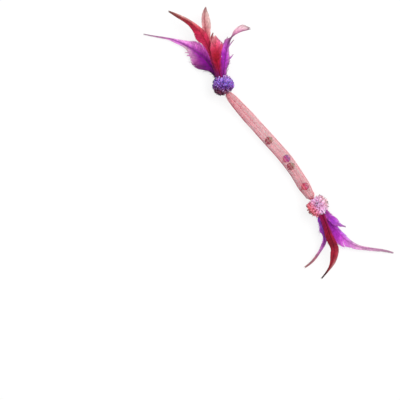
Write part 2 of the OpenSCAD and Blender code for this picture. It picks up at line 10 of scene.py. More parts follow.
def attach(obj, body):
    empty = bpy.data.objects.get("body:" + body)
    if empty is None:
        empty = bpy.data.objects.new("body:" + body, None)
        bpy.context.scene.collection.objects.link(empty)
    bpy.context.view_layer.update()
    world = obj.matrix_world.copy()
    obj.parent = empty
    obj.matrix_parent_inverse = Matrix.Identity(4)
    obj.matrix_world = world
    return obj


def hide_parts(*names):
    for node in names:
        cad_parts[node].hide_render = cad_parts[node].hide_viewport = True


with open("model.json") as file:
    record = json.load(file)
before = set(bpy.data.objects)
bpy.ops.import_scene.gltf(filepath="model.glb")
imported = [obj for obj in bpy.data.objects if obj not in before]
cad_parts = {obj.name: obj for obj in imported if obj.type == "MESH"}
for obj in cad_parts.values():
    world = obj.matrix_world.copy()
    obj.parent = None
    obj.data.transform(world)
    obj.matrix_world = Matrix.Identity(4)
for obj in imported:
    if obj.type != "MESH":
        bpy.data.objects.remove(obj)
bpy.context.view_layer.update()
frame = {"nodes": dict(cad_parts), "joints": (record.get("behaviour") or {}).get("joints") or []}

mm = 0.001
softEdge = math.radians(50)
nodes = frame["nodes"]
pivots = {joint["name"]: joint.get("pos_m") for joint in frame["joints"]}
print("frame loaded:", len(nodes), "nodes")

# The picture is a square seen from straight above: its middle and its upward direction on the table
view = {
    "middle": (-20.4 * mm, -114.7 * mm), "upward": (-0.74198, 0.67043), "width": 500 * mm,
    "distance": 3.0, "plane": 13.4 * mm, "sensor": 36.0, "farthest": 20.0,
}

# How the sleeve lies: a straight run, a gentle bend and a short run, with a gathered end each.
# "gather" is its half width round a knot, by the distance from the knot, both in knot radii.
# The two tables of shares are its half width over a taper, both as shares of the whole.
route = {
    "upperRun": 96 * mm, "bendRadius": 225 * mm, "bendLength": 42 * mm, "lowerRun": 30.5 * mm,
    "knotRadius": 4.5 * mm, "upperTaper": 60 * mm, "lowerTaper": 19 * mm,
    "upperClimb": 30 * mm, "lowerClimb": 13.5 * mm, "width": 15.8 * mm, "height": 13 * mm,
    "wall": 0.6 * mm,
    "gather": [(-0.93, 0.3), (-0.8, 0.5), (-0.62, 0.37), (-0.25, 0.37), (-0.06, 0.7),
               (0.18, 0.97), (0.5, 1.08)],
    "upperShares": [(0.05, 0.63), (0.13, 0.76), (0.25, 0.85), (0.375, 0.89), (0.5, 0.915),
                    (0.633, 0.96), (1, 1)],
    "lowerShares": [(0.13, 0.72), (0.24, 0.8), (0.4, 0.81), (0.6, 0.89), (1, 1)],
}

ball = {
    "radius": 13.4 * mm, "reach": 11.5 * mm, "upperBend": math.radians(14),
    "lowerBend": math.radians(6.5), "plugRadius": 3.6 * mm, "seat": 1.3 * mm,
}


def clearSelection():
    if bpy.context.object and bpy.context.object.mode != "OBJECT":
        bpy.ops.object.mode_set(mode="OBJECT")
    bpy.ops.object.select_all(action="DESELECT")


def setActive(piece):
    clearSelection()
    piece.select_set(True)
    bpy.context.view_layer.objects.active = piece


def openPrimitive():
    # applies the place of the primitive just added, and opens it in edit mode
    piece = bpy.context.object
    bpy.ops.object.transform_apply(location=True, rotation=True, scale=True)
    bpy.ops.object.mode_set(mode="EDIT")
    return piece


def selectInEdit(piece, kind, test):
    # selects the vertices, edges or faces of the open mesh that pass the test
    bpy.ops.mesh.select_mode(type={"verts": "VERT", "edges": "EDGE", "faces": "FACE"}[kind])
    bpy.ops.mesh.select_all(action="DESELECT")
    opened = bmesh.from_edit_mesh(piece.data)
    for part in getattr(opened, kind):
        part.select = test(part)
    opened.select_flush_mode()
    bmesh.update_edit_mesh(piece.data)


def readTemplate(piece):
    # a modelled shape as plain arrays, after which its object goes
    bpy.ops.object.mode_set(mode="OBJECT")
    coords = np.array([tuple(v.co) for v in piece.data.vertices])
    loose = bmesh.new()
    loose.from_mesh(piece.data)
    bmesh.ops.triangulate(loose, faces=loose.faces)
    faces = np.array([[v.index for v in f.verts] for f in loose.faces])
    loose.free()
    bpy.data.objects.remove(piece)
    return coords, faces


def repeatFaces(faces, count, step):
    return (faces[None] + (np.arange(count) * step)[:, None, None]).reshape(-1, faces.shape[1])


def makeMesh(name, coords, faces, values, material):
    mesh = bpy.data.meshes.new(name)
    mesh.from_pydata(coords.tolist(), [], faces.tolist())
    for key, numbers in values.items():
        layer = mesh.attributes.new(key, "FLOAT", "POINT")
        layer.data.foreach_set("value", np.asarray(numbers, np.float32))
    mesh.materials.append(material)
    mesh.update()
    piece = bpy.data.objects.new(name, mesh)
    bpy.context.scene.collection.objects.link(piece)
    return piece


def finishPiece(piece, body, node):
    # outward normals and soft shading, and then its place in the frame
    setActive(piece)
    bpy.ops.object.mode_set(mode="EDIT")
    bpy.ops.mesh.select_all(action="SELECT")
    bpy.ops.mesh.normals_make_consistent(inside=False)
    bpy.ops.object.mode_set(mode="OBJECT")
    bpy.ops.object.shade_smooth_by_angle(angle=softEdge)
    clearSelection()
    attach(piece, body)
    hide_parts(node)


def eased(t):
    t = np.clip(t, 0, 1)
    return t * t * (3 - 2 * t)


def fromTable(t, table):
    # a table of evenly spaced values, read at t from 0 to 1
    return np.interp(np.clip(t, 0, 1) * (len(table) - 1), np.arange(len(table)), table)


def unit(vectors):
    return vectors / np.linalg.norm(vectors, axis=-1, keepdims=True)


# Materials. A colour is three numbers from 0 to 255, as a screen shows it.

def linear(red, green, blue):
    def one(c):
        c = c / 255
        return c / 12.92 if c <= 0.04045 else ((c + 0.055) / 1.055) ** 2.4
    return one(red), one(green), one(blue)


def emptyMaterial(name):
    material = bpy.data.materials.new(name)
    material.use_nodes = True
    tree = material.node_tree
    tree.nodes.clear()
    return material, tree, tree.nodes.new("ShaderNodeOutputMaterial")


def newMaterial(name):
    material, tree, out = emptyMaterial(name)
    shader = tree.nodes.new("ShaderNodeBsdfPrincipled")
    tree.links.new(shader.outputs["BSDF"], out.inputs["Surface"])
    return material, tree, shader


def setSockets(shader, **settings):
    words = {"roughness": "Roughness", "metallic": "Metallic", "sheen": "Sheen Weight",
             "sheenRoughness": "Sheen Roughness", "coat": "Coat Weight",
             "coatRoughness": "Coat Roughness", "specular": "Specular IOR Level",
             "subsurface": "Subsurface Weight", "subsurfaceScale": "Subsurface Scale",
             "subsurfaceRadius": "Subsurface Radius"}
    for key, value in settings.items():
        shader.inputs[words[key]].default_value = value


def readValue(tree, name):
    node = tree.nodes.new("ShaderNodeAttribute")
    node.attribute_name = name
    return node.outputs["Fac"]


def colourRamp(tree, source, stops):
    ramp = tree.nodes.new("ShaderNodeValToRGB")
    points = ramp.color_ramp.elements
    while len(points) < len(stops):
        points.new(0.5)
    for point, (place, colour) in zip(points, stops):
        point.position = place
        point.color = (*linear(*colour), 1)
    tree.links.new(source, ramp.inputs["Fac"])
    return ramp.outputs["Color"]


def mixColours(tree, first, second, amount):
    node = tree.nodes.new("ShaderNodeMix")
    node.data_type = "RGBA"
    for socket, source in ((node.inputs[6], first), (node.inputs[7], second), (node.inputs[0], amount)):
        if isinstance(source, tuple):
            socket.default_value = (*linear(*source), 1)
        else:
            tree.links.new(source, socket)
    return node.outputs[2]


def joinValues(tree, operation, first, second):
    node = tree.nodes.new("ShaderNodeMath")
    node.operation = operation
    tree.links.new(first, node.inputs[0])
    tree.links.new(second, node.inputs[1])
    return node.outputs["Value"]


def rescale(tree, source, low, high, newLow, newHigh):
    node = tree.nodes.new("ShaderNodeMapRange")
    for key, value in (("From Min", low), ("From Max", high), ("To Min", newLow), ("To Max", newHigh)):
        node.inputs[key].default_value = value
    tree.links.new(source, node.inputs["Value"])
    return node.outputs["Result"]


def facingValue(tree, source, direction):
    # 1 where the source points along the direction, -1 where it points away
    node = tree.nodes.new("ShaderNodeVectorMath")
    node.operation = "DOT_PRODUCT"
    node.inputs[1].default_value = direction
    tree.links.new(source, node.inputs[0])
    return node.outputs["Value"]


def toned(tree, colour, level):
    # a colour made darker below a level of 1 and brighter above it
    tone = tree.nodes.new("ShaderNodeHueSaturation")
    tree.links.new(level, tone.inputs["Value"])
    tree.links.new(colour, tone.inputs["Color"])
    return tone.outputs["Color"]


def fineNoise(tree, scale, detail):
    place = tree.nodes.new("ShaderNodeTexCoord")
    noise = tree.nodes.new("ShaderNodeTexNoise")
    noise.inputs["Scale"].default_value = scale
    noise.inputs["Detail"].default_value = detail
    tree.links.new(place.outputs["Object"], noise.inputs["Vector"])
    return noise.outputs["Fac"]


def mottled(tree, scale, window, span, detail=3):
    # noise between the two levels of the window, spread over the span
    return rescale(tree, fineNoise(tree, scale, detail), *window, *span)


def roughen(tree, shader, scale, window, span):
    tree.links.new(mottled(tree, scale, window, span), shader.inputs["Roughness"])


def addBump(tree, shader, scale, detail, strength, distance):
    bump = tree.nodes.new("ShaderNodeBump")
    bump.inputs["Strength"].default_value = strength
    bump.inputs["Distance"].default_value = distance
    tree.links.new(fineNoise(tree, scale, detail), bump.inputs["Height"])
    tree.links.new(bump.outputs["Normal"], shader.inputs["Normal"])


def dyedFeather(name, shape):
    # colours from the first barbs to the tip: by the shaft, and at the barbs' ends on each side
    material, tree, shader = newMaterial(name)
    along, across = readValue(tree, "along"), readValue(tree, "across")
    runs = (shape["core"], shape["edge"], shape.get("rightEdge", shape["edge"]))
    middle, left, right = [colourRamp(tree, along, stops) for stops in runs]
    outside = mixColours(tree, left, right, readValue(tree, "side"))
    colour = mixColours(tree, middle, outside, rescale(tree, across, *shape["blend"], 0, 1))
    # the barbs' ends take on the rim colour, darker or greyer towards their ends
    barbEndMix = rescale(tree, across, *shape["rimRange"], 0, shape["rimShare"])
    colour = mixColours(tree, colour, shape["rim"], barbEndMix)
    patch = mottled(tree, 330, window=(0.3, 0.7), span=(0.78, 1.22), detail=4)
    level = joinValues(tree, "MULTIPLY", rescale(tree, readValue(tree, "shade"), 0, 1, 0.7, 1.3), patch)
    tree.links.new(toned(tree, colour, level), shader.inputs["Base Color"])
    roughen(tree, shader, 900, window=(0.2, 0.8), span=(0.5, 0.75))
    addBump(tree, shader, 2600, 4, strength=0.35, distance=0.06 * mm)
    setSockets(shader, sheen=0.04, sheenRoughness=0.45, specular=0.12)
    return material


def quillFinish(name, low, high):
    material, tree, shader = newMaterial(name)
    colour = colourRamp(tree, readValue(tree, "along"), [(0, low), (1, high)])
    level = mottled(tree, 500, window=(0.3, 0.7), span=(0.85, 1.2))
    tree.links.new(toned(tree, colour, level), shader.inputs["Base Color"])
    roughen(tree, shader, 1200, window=(0.3, 0.7), span=(0.5, 0.7))
    setSockets(shader, specular=0.08)
    return material


def tinselFilm(name, look):
    # painted light on the film: its colour runs with the way that a strip points, from the side away from the
    # light to the side towards it; its roots are darker low on the ball than at the top, and its tips are
    # darkened, all painted shade
    material, tree, shader = newMaterial(name)
    along, upward = readValue(tree, "along"), rescale(tree, readValue(tree, "upward"), 0.5, 0.95, 0, 1)
    film = colourRamp(tree, readValue(tree, "sideward"), look["film"])
    roots = mixColours(tree, look["root"], look["deepTop"], upward)
    deep = mixColours(tree, roots, film, rescale(tree, along, *look["rootFade"], 0, 1))
    tips = rescale(tree, along, 0.8, 1, 0, look["tipShare"])
    tipped = mixColours(tree, deep, look["tip"], joinValues(tree, "MULTIPLY", tips, readValue(tree, "burn")))
    tree.links.new(toned(tree, tipped, readValue(tree, "shade")), shader.inputs["Base Color"])
    roughen(tree, shader, 1400, window=(0.25, 0.75), span=(0.22, 0.42))
    addBump(tree, shader, 1800, 2, strength=0.4, distance=0.1 * mm)
    setSockets(shader, coat=0.3, coatRoughness=0.15, subsurface=0.6, subsurfaceScale=0.15 * mm,
               subsurfaceRadius=look["glow"])
    return material


def nylonThread(name, shades):
    material, tree, shader = newMaterial(name)
    colour = colourRamp(tree, readValue(tree, "shade"), shades)
    faded = mixColours(tree, colour, (255, 214, 214), mottled(tree, 160, window=(0.3, 0.7), span=(0, 0.12)))
    tree.links.new(faded, shader.inputs["Base Color"])
    roughen(tree, shader, 1200, window=(0.2, 0.8), span=(0.272, 0.442))
    addBump(tree, shader, 3200, 2, strength=0.3, distance=0.04 * mm)
    setSockets(shader, coat=0.15, coatRoughness=0.2, specular=0.35)
    return material


def bellLacquerAndShade(name, tones):
    # painted light on the lacquer: its tone runs with the surface's facing, from painted shade away from the
    # lamp to a painted highlight towards it, and painted shade darkens it towards the rim
    material, tree, shader = newMaterial(name)
    normal = tree.nodes.new("ShaderNodeTexCoord").outputs["Normal"]
    across = rescale(tree, facingValue(tree, normal, bellLook["across"]), -0.8, 0.8, 0, 1)
    cloud = mottled(tree, 420, window=(0.3, 0.7), span=(-0.35, 0.35), detail=4)
    tone = colourRamp(tree, joinValues(tree, "ADD", across, cloud), tones)
    upward = facingValue(tree, normal, (0, 0, 1))
    level = rescale(tree, upward, *bellLook["rimRange"], bellLook["rimShadeLevel"], 1)
    tree.links.new(toned(tree, tone, level), shader.inputs["Base Color"])
    roughen(tree, shader, 1500, window=(0.3, 0.7), span=(0.16, 0.3))
    addBump(tree, shader, 420, 2, strength=0.15, distance=0.1 * mm)
    setSockets(shader, metallic=0.35, coat=0.6, coatRoughness=0.06)
    return material


def plainMetal(name, colour, roughness):
    material, tree, shader = newMaterial(name)
    darker = tuple(c * 0.7 for c in colour)
    tone = mixColours(tree, colour, darker, mottled(tree, 900, window=(0.4, 0.75), span=(0, 1), detail=5))
    tree.links.new(tone, shader.inputs["Base Color"])
    roughen(tree, shader, 2400, window=(0.3, 0.7), span=(roughness * 0.7, roughness * 1.3))
    setSockets(shader, metallic=1.0)
    return material


def meltedGlue(name):
    material, tree, shader = newMaterial(name)
    cloud = mottled(tree, 260, window=(0.4, 0.7), span=(0, 1), detail=4)
    tree.links.new(mixColours(tree, (238, 226, 200), (214, 196, 160), cloud), shader.inputs["Base Color"])
    addBump(tree, shader, 300, 2, strength=0.4, distance=0.3 * mm)
    setSockets(shader, roughness=0.38, coat=0.15)
    return material


def lashingThread(name):
    material, tree, shader = newMaterial(name)
    fibres = mottled(tree, 2200, window=(0.35, 0.7), span=(0, 1))
    tree.links.new(mixColours(tree, (214, 96, 132), (150, 48, 84), fibres), shader.inputs["Base Color"])
    addBump(tree, shader, 2600, 3, strength=0.6, distance=0.08 * mm)
    setSockets(shader, roughness=0.75, sheen=0.3)
    return material


# Where things are

bendTurn = route["bendLength"] / route["bendRadius"]
upperNeck = -route["upperRun"]
lowerNeck = route["bendLength"] + route["lowerRun"]


def headingAt(s):
    return -bendTurn * np.clip(s / route["bendLength"], 0, 1)


def planAt(s):
    radius, turn = route["bendRadius"], -headingAt(s)
    x = np.minimum(s, 0) + radius * np.sin(turn)
    y = -radius * (1 - np.cos(turn))
    past = np.maximum(s - route["bendLength"], 0)
    return x + past * math.cos(bendTurn), y - past * math.sin(bendTurn)


def heightAt(s):
    climb = np.maximum(1 - eased((s - upperNeck) / route["upperClimb"]),
                       1 - eased((lowerNeck - s) / route["lowerClimb"]))
    low = route["height"] / 2
    return low + (ball["radius"] - low) * climb


def halfWidthFrom(u, taper, shares):
    knot, gather = route["knotRadius"], route["gather"]
    near = knot * np.interp(u / knot, *zip(*gather))
    far = route["width"] / 2 * np.interp(u / taper, *zip(*shares))
    return np.where(u <= gather[-1][0] * knot, near, np.maximum(knot * gather[-1][1], far))


def halfWidthAt(s):
    return np.minimum(halfWidthFrom(s - upperNeck, route["upperTaper"], route["upperShares"]),
                      halfWidthFrom(lowerNeck - s, route["lowerTaper"], route["lowerShares"]))


def ballFrame(end):
    # x runs out of the pompom towards its feathers
    if end == "upper":
        pivot, heading = Vector(pivots["upper_neck_bend"]), math.pi - ball["upperBend"]
    else:
        pivot, heading = Vector(pivots["lower_neck_bend"]), ball["lowerBend"] - bendTurn
    out = Vector((math.cos(heading), math.sin(heading), 0))
    return Matrix.Translation(pivot + out * ball["reach"]) @ Matrix.Rotation(heading, 4, "Z")


def placed(coords, place):
    grid = np.array(place)
    return coords @ grid[:3, :3].T + grid[:3, 3]


# Mesh sleeve. Angles run round it from its +Y side over its top, and s runs along it.

sleeveWeave = {
    "warps": 48, "wefts": 184, "warpRadius": 0.13 * mm, "weftRadius": 0.11 * mm, "waveShare": 0.8,
    "pleats": 12, "pleatDepth": 0.16, "pleatReach": 20 * mm, "pleatSkew": 2.5,
    # pressed creases: an angle, a height and the degrees that it drifts in a millimetre
    "creases": [(88, 0.3 * mm, -0.33), (14, 0.3 * mm, 0.1), (196, 0.3 * mm, 0.05)],
    "creaseWidth": math.radians(7), "creaseFrom": -36 * mm, "creaseShare": 0.5,
    "limpness": 0.2 * mm, "limpShort": 7.3 * mm, "limpLong": 31 * mm, "limpTwist": 1.7,
    # how pale the cloth is from its -Y edge to its +Y edge, and how that wanders and clouds: streaks in the
    # cloth, with painted light paler towards the lamp on the +Y side and painted shade darker at both edges
    "streaksAndShade": [0.15, 0.28, 0.42, 0.52, 0.56, 0.5, 0.38, 0.62, 0.84, 0.84, 0.9, 1, 1.1],
    "drifts": [(23 * mm, 0.0126), (7 * mm, 0.015)], "deepening": 0.1, "deepenOver": 50 * mm,
    "cloud": 0.12, "cloudShort": 3.1 * mm, "cloudLong": 5.3 * mm, "cloudSlants": (5, 9),
    "threadVariety": 0.2, "bandVariety": 0.3, "bandShare": 0.6, "seed": 5,
    # the last, greyer shade is painted shade at the sleeve's +Y edge
    "shades": [(0, (165, 48, 80)), (0.25, (215, 62, 98)), (0.5, (252, 98, 126)), (0.75, (255, 155, 168)),
               (0.88, (255, 180, 184)), (1, (185, 130, 136))],
}


def sleeveMiddle(s):
    x, y = planAt(s)
    return np.stack([x, y, heightAt(s)], -1)


def creaseHeight(s, phi):
    weave = sleeveWeave
    ridge = 0
    for angle, height, drift in weave["creases"]:
        middle = np.radians(angle + drift * (s - weave["creaseFrom"]) / mm)
        apart = np.angle(np.exp(1j * (phi - middle)))
        ridge = ridge + height * np.exp(-(apart / weave["creaseWidth"]) ** 2)
    return ridge * weave["creaseShare"]


def sleevePoints(s, phi):
    # the middle of the cloth, with pleats at its gathered ends and pressed creases along it
    weave = sleeveWeave
    half = halfWidthAt(s) - route["wall"] / 2
    tall = np.minimum(halfWidthAt(s), route["height"] / 2) - route["wall"] / 2
    spread = eased(np.minimum(s - upperNeck, lowerNeck - s) / weave["pleatReach"])
    fold = 0.5 - 0.5 * np.cos(weave["pleats"] * phi + weave["pleatSkew"] * np.sin(phi))
    shrink = 1 - weave["pleatDepth"] * (1 - spread) * fold
    limp = np.sin(s / weave["limpShort"] + weave["limpTwist"] * np.sin(2 * phi))
    limp = limp * np.sin(2 * phi + s / weave["limpLong"])
    grow = (creaseHeight(s, phi) + weave["limpness"] * (limp - 1)) * spread
    across = (half * shrink + grow) * np.cos(phi)
    high = (tall * shrink + grow) * np.sin(phi)
    heading = headingAt(s)
    aside = np.stack([-across * np.sin(heading), across * np.cos(heading), high], -1)
    return sleeveMiddle(s) + aside


def sleeveNormals(s, phi):
    step, turn = 0.1 * mm, 0.01
    along = sleevePoints(s + step, phi) - sleevePoints(s - step, phi)
    around = sleevePoints(s, phi + turn) - sleevePoints(s, phi - turn)
    out = unit(np.cross(along, around))
    outwards = np.sum(out * (sleevePoints(s, phi) - sleeveMiddle(s)), -1, keepdims=True)
    return out * np.sign(outwards)


def squareTubes(paths, normals, radius, closed):
    # four-sided threads along rows of points, flat side against the cloth
    ahead = np.roll(paths, -1, 1) - np.roll(paths, 1, 1)
    if not closed:
        ahead[:, 0], ahead[:, -1] = paths[:, 1] - paths[:, 0], paths[:, -1] - paths[:, -2]
    side = unit(np.cross(ahead, normals))
    rings = np.stack([paths + spoke * radius for spoke in (normals, side, -normals, -side)], 2)
    rows, count = paths.shape[:2]
    ring = np.arange(count if closed else count - 1)[:, None]
    following = (ring + 1) % count
    corner = np.arange(4)
    turned = (corner + 1) % 4
    quads = np.stack(np.broadcast_arrays(ring * 4 + corner, ring * 4 + turned, following * 4 + turned,
                                         following * 4 + corner), -1).reshape(-1, 4)
    if not closed:
        last = (count - 1) * 4
        quads = np.concatenate([quads, [[3, 2, 1, 0], [last, last + 1, last + 2, last + 3]]])
    return rings.reshape(-1, 3), repeatFaces(quads, rows, count * 4)


def streakAndShadeAt(s, phi):
    # how pale the cloth is at a place on the sleeve: its streaks, with painted light and shade across it
    weave = sleeveWeave
    drift = sum(wide * np.sin(s / length) for length, wide in weave["drifts"])
    one, other = weave["cloudSlants"]
    cloud = weave["cloud"] * np.sin(s / weave["cloudShort"] + one * np.cos(phi))
    cloud = cloud * np.sin(s / weave["cloudLong"] - other * np.cos(phi))
    deep = weave["deepening"] * eased(s / weave["deepenOver"])
    return fromTable(0.5 + 0.5 * np.cos(phi) + drift, weave["streaksAndShade"]) + cloud - deep


def makeSleeve():
    weave = sleeveWeave
    chance = np.random.default_rng(weave["seed"])
    past = -route["gather"][0][0] * route["knotRadius"]
    places = np.linspace(upperNeck - past, lowerNeck + past, weave["wefts"])
    turns = np.arange(weave["warps"]) * 2 * math.pi / weave["warps"]
    s, phi = np.meshgrid(places, turns, indexing="ij")
    cloth, out = sleevePoints(s, phi), sleeveNormals(s, phi)
    over = np.where((np.arange(weave["wefts"])[:, None] + np.arange(weave["warps"])) % 2, 1, -1)
    lift = out * (over * weave["warpRadius"] * weave["waveShare"])[..., None]
    warps, warpFaces = squareTubes((cloth + lift).transpose(1, 0, 2), out.transpose(1, 0, 2),
                                   weave["warpRadius"], False)
    wefts, weftFaces = squareTubes(cloth - lift, out, weave["weftRadius"], True)
    band = chance.normal(0, weave["bandVariety"], weave["warps"])
    streakAndShade = streakAndShadeAt(s, phi) + (band + np.roll(band, 1)) * weave["bandShare"]
    warpShade = streakAndShade.T + chance.normal(0, weave["threadVariety"], (weave["warps"], 1))
    weftShade = streakAndShade + chance.normal(0, weave["threadVariety"], (weave["wefts"], 1))
    shade = np.clip(np.concatenate([warpShade.ravel(), weftShade.ravel()]), 0, 1)
    piece = makeMesh("wovenSleeve", np.concatenate([warps, wefts]),
                     np.concatenate([warpFaces, weftFaces + len(warps)]), {"shade": np.repeat(shade, 4)},
                     nylonThread("pinkNylon", weave["shades"]))
    finishPiece(piece, "sleeve", "mesh_sleeve")
    print("sleeve woven:", len(piece.data.polygons), "faces")


# Feathers

# "taper" is a barb's width from its root to its end, and "thickness" a share of that width
barbShape = {"cuts": 4, "thickness": 0.16, "taper": [1, 1, 0.98, 0.94, 0.8, 0.28]}

vaneLay = {
    # the quill and the shaft
    "quillLength": 13.6 * mm, "quillRadius": 0.6 * mm, "tipRadius": 0.13 * mm, "thinning": 0.6,
    "footWidth": 0.6, "quillRings": 6, "shaftRings": 64, "shaftSides": 8, "curveSteps": 240,
    # where barbs grow: their angles to the shaft run from the foot to the tip
    "foot": 5 * mm, "angles": [50, 44, 36, 24], "spacing": 0.33 * mm, "samples": 900, "soften": 0.35,
    "placeJitter": 0.2, "reachJitter": 0.012, "shortest": 0.3 * mm, "leastAhead": 0.004,
    # clumps that lean on each other, of this many barbs
    "clump": (14, 46), "clumpLift": 0.3 * mm, "clumpTone": 0.17,
    # how one barb lies, which bows out from the shaft and swings ahead near its end, and how dark it is
    "width": 0.66 * mm, "bow": 0.35, "swing": 0.3, "camber": 0.1, "roll": 0.16, "wave": 0.007, "waves": 5,
    "liftGrowth": 1.5, "unevenness": 0.05 * mm, "clearOfTable": 0.15 * mm, "tone": 0.16,
    "edgeFrom": 2.5 * mm,
}
# Soft down at the foot of a vane, and the loose tufts along it
downLay = {
    "width": 0.26 * mm, "highest": 0.6, "reach": (0.5, 1.1), "leastReach": 0.8 * mm, "reachFrom": 0.08,
    "angles": (30, 70), "curl": 0.25, "lift": 0.2,
}
wispLay = {"spread": 0.016, "reachJitter": 0.06, "lift": 0.4 * mm}

# What a feather has when its own dictionary says nothing else
usualFeather = {
    "ragged": [0.04], "gather": 0.1, "blend": (0.25, 1), "rim": (110, 60, 85), "rimRange": (0.84, 1),
    "rimShare": 0.4, "shaftTo": 0.985, "wisps": [],
}


def modelBarb():
    # one barb, a unit long: a three-sided sliver, cut into stations and drawn to a point
    clearSelection()
    bpy.ops.mesh.primitive_cylinder_add(vertices=3, radius=0.5, depth=1, location=(0.5, 0, 0),
                                        rotation=(math.pi / 2, 0, math.pi / 2))
    barb = openPrimitive()
    selectInEdit(barb, "edges", lambda e: abs(e.verts[0].co.x - e.verts[1].co.x) > 0.5)
    bpy.ops.mesh.subdivide(number_cuts=barbShape["cuts"])
    for step, share in enumerate(barbShape["taper"]):
        x = step / (barbShape["cuts"] + 1)
        selectInEdit(barb, "verts", lambda v: abs(v.co.x - x) < 0.01)
        bpy.ops.transform.resize(value=(1, share, share * barbShape["thickness"]), center_override=(x, 0, 0))
    return readTemplate(barb)


def shaftSpots(shape, distance):
    # places and headings of the shaft at distances from its seat, in the pompom's frame
    quillLength, length = vaneLay["quillLength"], shape["length"] * mm
    fine = np.linspace(0, 1, vaneLay["curveSteps"] + 1)
    headings = np.radians(fromTable(fine, shape["headings"]))
    quill = math.radians(shape["quillHeading"])
    seat = np.array([ball["seat"], shape["seat"][0] * ball["plugRadius"]])
    first = seat + quillLength * np.array([math.cos(quill), math.sin(quill)])
    middles, step = (headings[1:] + headings[:-1]) / 2, length / vaneLay["curveSteps"]
    x = first[0] + np.concatenate([[0], np.cumsum(np.cos(middles))]) * step
    y = first[1] + np.concatenate([[0], np.cumsum(np.sin(middles))]) * step
    places = np.concatenate([[0], quillLength + fine * length])
    x, y = np.concatenate([[seat[0]], x]), np.concatenate([[seat[1]], y])
    turns = np.concatenate([[quill], headings])
    past = np.maximum(distance - places[-1], 0)
    heading = np.interp(distance, places, turns)
    share = np.clip(distance / places[-1], 0, 1)
    seatHeight = ball["radius"] + shape["seat"][1] * ball["plugRadius"]
    middle, tip = shape["middleHeight"] * mm, shape["tipHeight"] * mm
    pull = 2 * middle - (seatHeight + tip) / 2
    z = (1 - share) ** 2 * seatHeight + 2 * share * (1 - share) * pull + share ** 2 * tip
    return (np.interp(distance, places, x) + past * np.cos(heading),
            np.interp(distance, places, y) + past * np.sin(heading), z - ball["radius"], heading)


def reachAt(shape, side, v):
    # the corners of the table are rounded off
    table = shape["left" if side > 0 else "right"]
    soft = vaneLay["soften"] / (len(table) - 1)
    share = (fromTable(v - soft, table) + 2 * fromTable(v, table) + fromTable(v + soft, table)) / 4
    return shape["leftReach" if side > 0 else "rightReach"] * mm * share


def placeBarbs(shape, side, chance):
    # roots along the shaft, and the places that the ends reach, spaced evenly along the outline
    lay, length = vaneLay, shape["length"] * mm
    ends = np.linspace(-lay["foot"] / length, 1, lay["samples"])
    edge = reachAt(shape, side, ends)
    slope = np.tan(np.radians(fromTable(ends, lay["angles"])))
    roots = np.maximum(np.maximum.accumulate(ends - edge / slope / length), ends[0])
    steps = np.maximum(np.diff(roots) * length, np.hypot(np.diff(ends) * length, np.diff(edge)))
    passed = np.concatenate([[0], np.cumsum(steps)])
    count = int(passed[-1] / lay["spacing"])
    jitter = chance.uniform(-lay["placeJitter"], lay["placeJitter"], count)
    picks = (np.arange(count) + 0.5 + jitter) * passed[-1] / count
    return np.interp(picks, passed, roots), np.interp(picks, passed, ends)


def layBarbs(shape, side, template, chance):
    # one vane: barbs whose ends follow the feather's outline, in clumps that lean on each other
    lay = vaneLay
    v, goal = placeBarbs(shape, side, chance)
    count = len(v)
    middle, clumpReach, lift, tone = goal.copy(), np.ones(count), np.zeros(count), np.zeros(count)
    at = 0
    while at < count:
        members = slice(at, at + int(chance.integers(*lay["clump"])))
        middle[members] = goal[members].mean()
        clumpReach[members] = 1 + chance.normal(0, 1) * fromTable(middle[at], shape["ragged"])
        lift[members] = chance.normal(0, lay["clumpLift"])
        tone[members] = chance.normal(0, lay["clumpTone"])
        at = members.stop
    reach = reachAt(shape, side, goal) * clumpReach * (1 + chance.normal(0, lay["reachJitter"], count))
    reach = np.maximum(reach, lay["shortest"])
    ahead = np.maximum(goal - v + (middle - goal) * shape["gather"], lay["leastAhead"]) * shape["length"] * mm
    return sweepBarbs(shape, template, v, side, reach, ahead, lay["width"], lift, chance, tone=tone)


def layDown(shape, side, template, chance):
    # soft down at the foot of the vane, curling out of its plane
    lay, count, length = downLay, shape["down"], shape["length"] * mm
    lowest = -vaneLay["foot"] / length
    v = np.clip(np.abs(chance.normal(0, shape["downTo"], count)) + lowest, lowest, lay["highest"])
    reach = reachAt(shape, side, v + lay["reachFrom"]) * chance.uniform(*lay["reach"], count)
    reach = reach + lay["leastReach"]
    ahead = reach / np.tan(np.radians(chance.uniform(*lay["angles"], count)))
    lift = chance.normal(0, lay["lift"], count) * reach
    curl = chance.normal(0, lay["curl"], count)[:, None]
    return sweepBarbs(shape, template, v, side, reach, ahead, lay["width"], lift, chance, curl=curl)


def layWisp(shape, wisp, template, chance):
    # a tuft of barbs that has come free of the vane and sticks out to a point
    lay = wispLay
    side, start, goal, reach, count = wisp
    v = start + chance.normal(0, lay["spread"], count)
    reach = reach * mm * (1 - np.abs(chance.normal(0, lay["reachJitter"], count)))
    ahead = (goal - v) * shape["length"] * mm
    lift = chance.normal(0, lay["lift"], count)
    return sweepBarbs(shape, template, v, side, reach, ahead, vaneLay["width"], lift, chance)


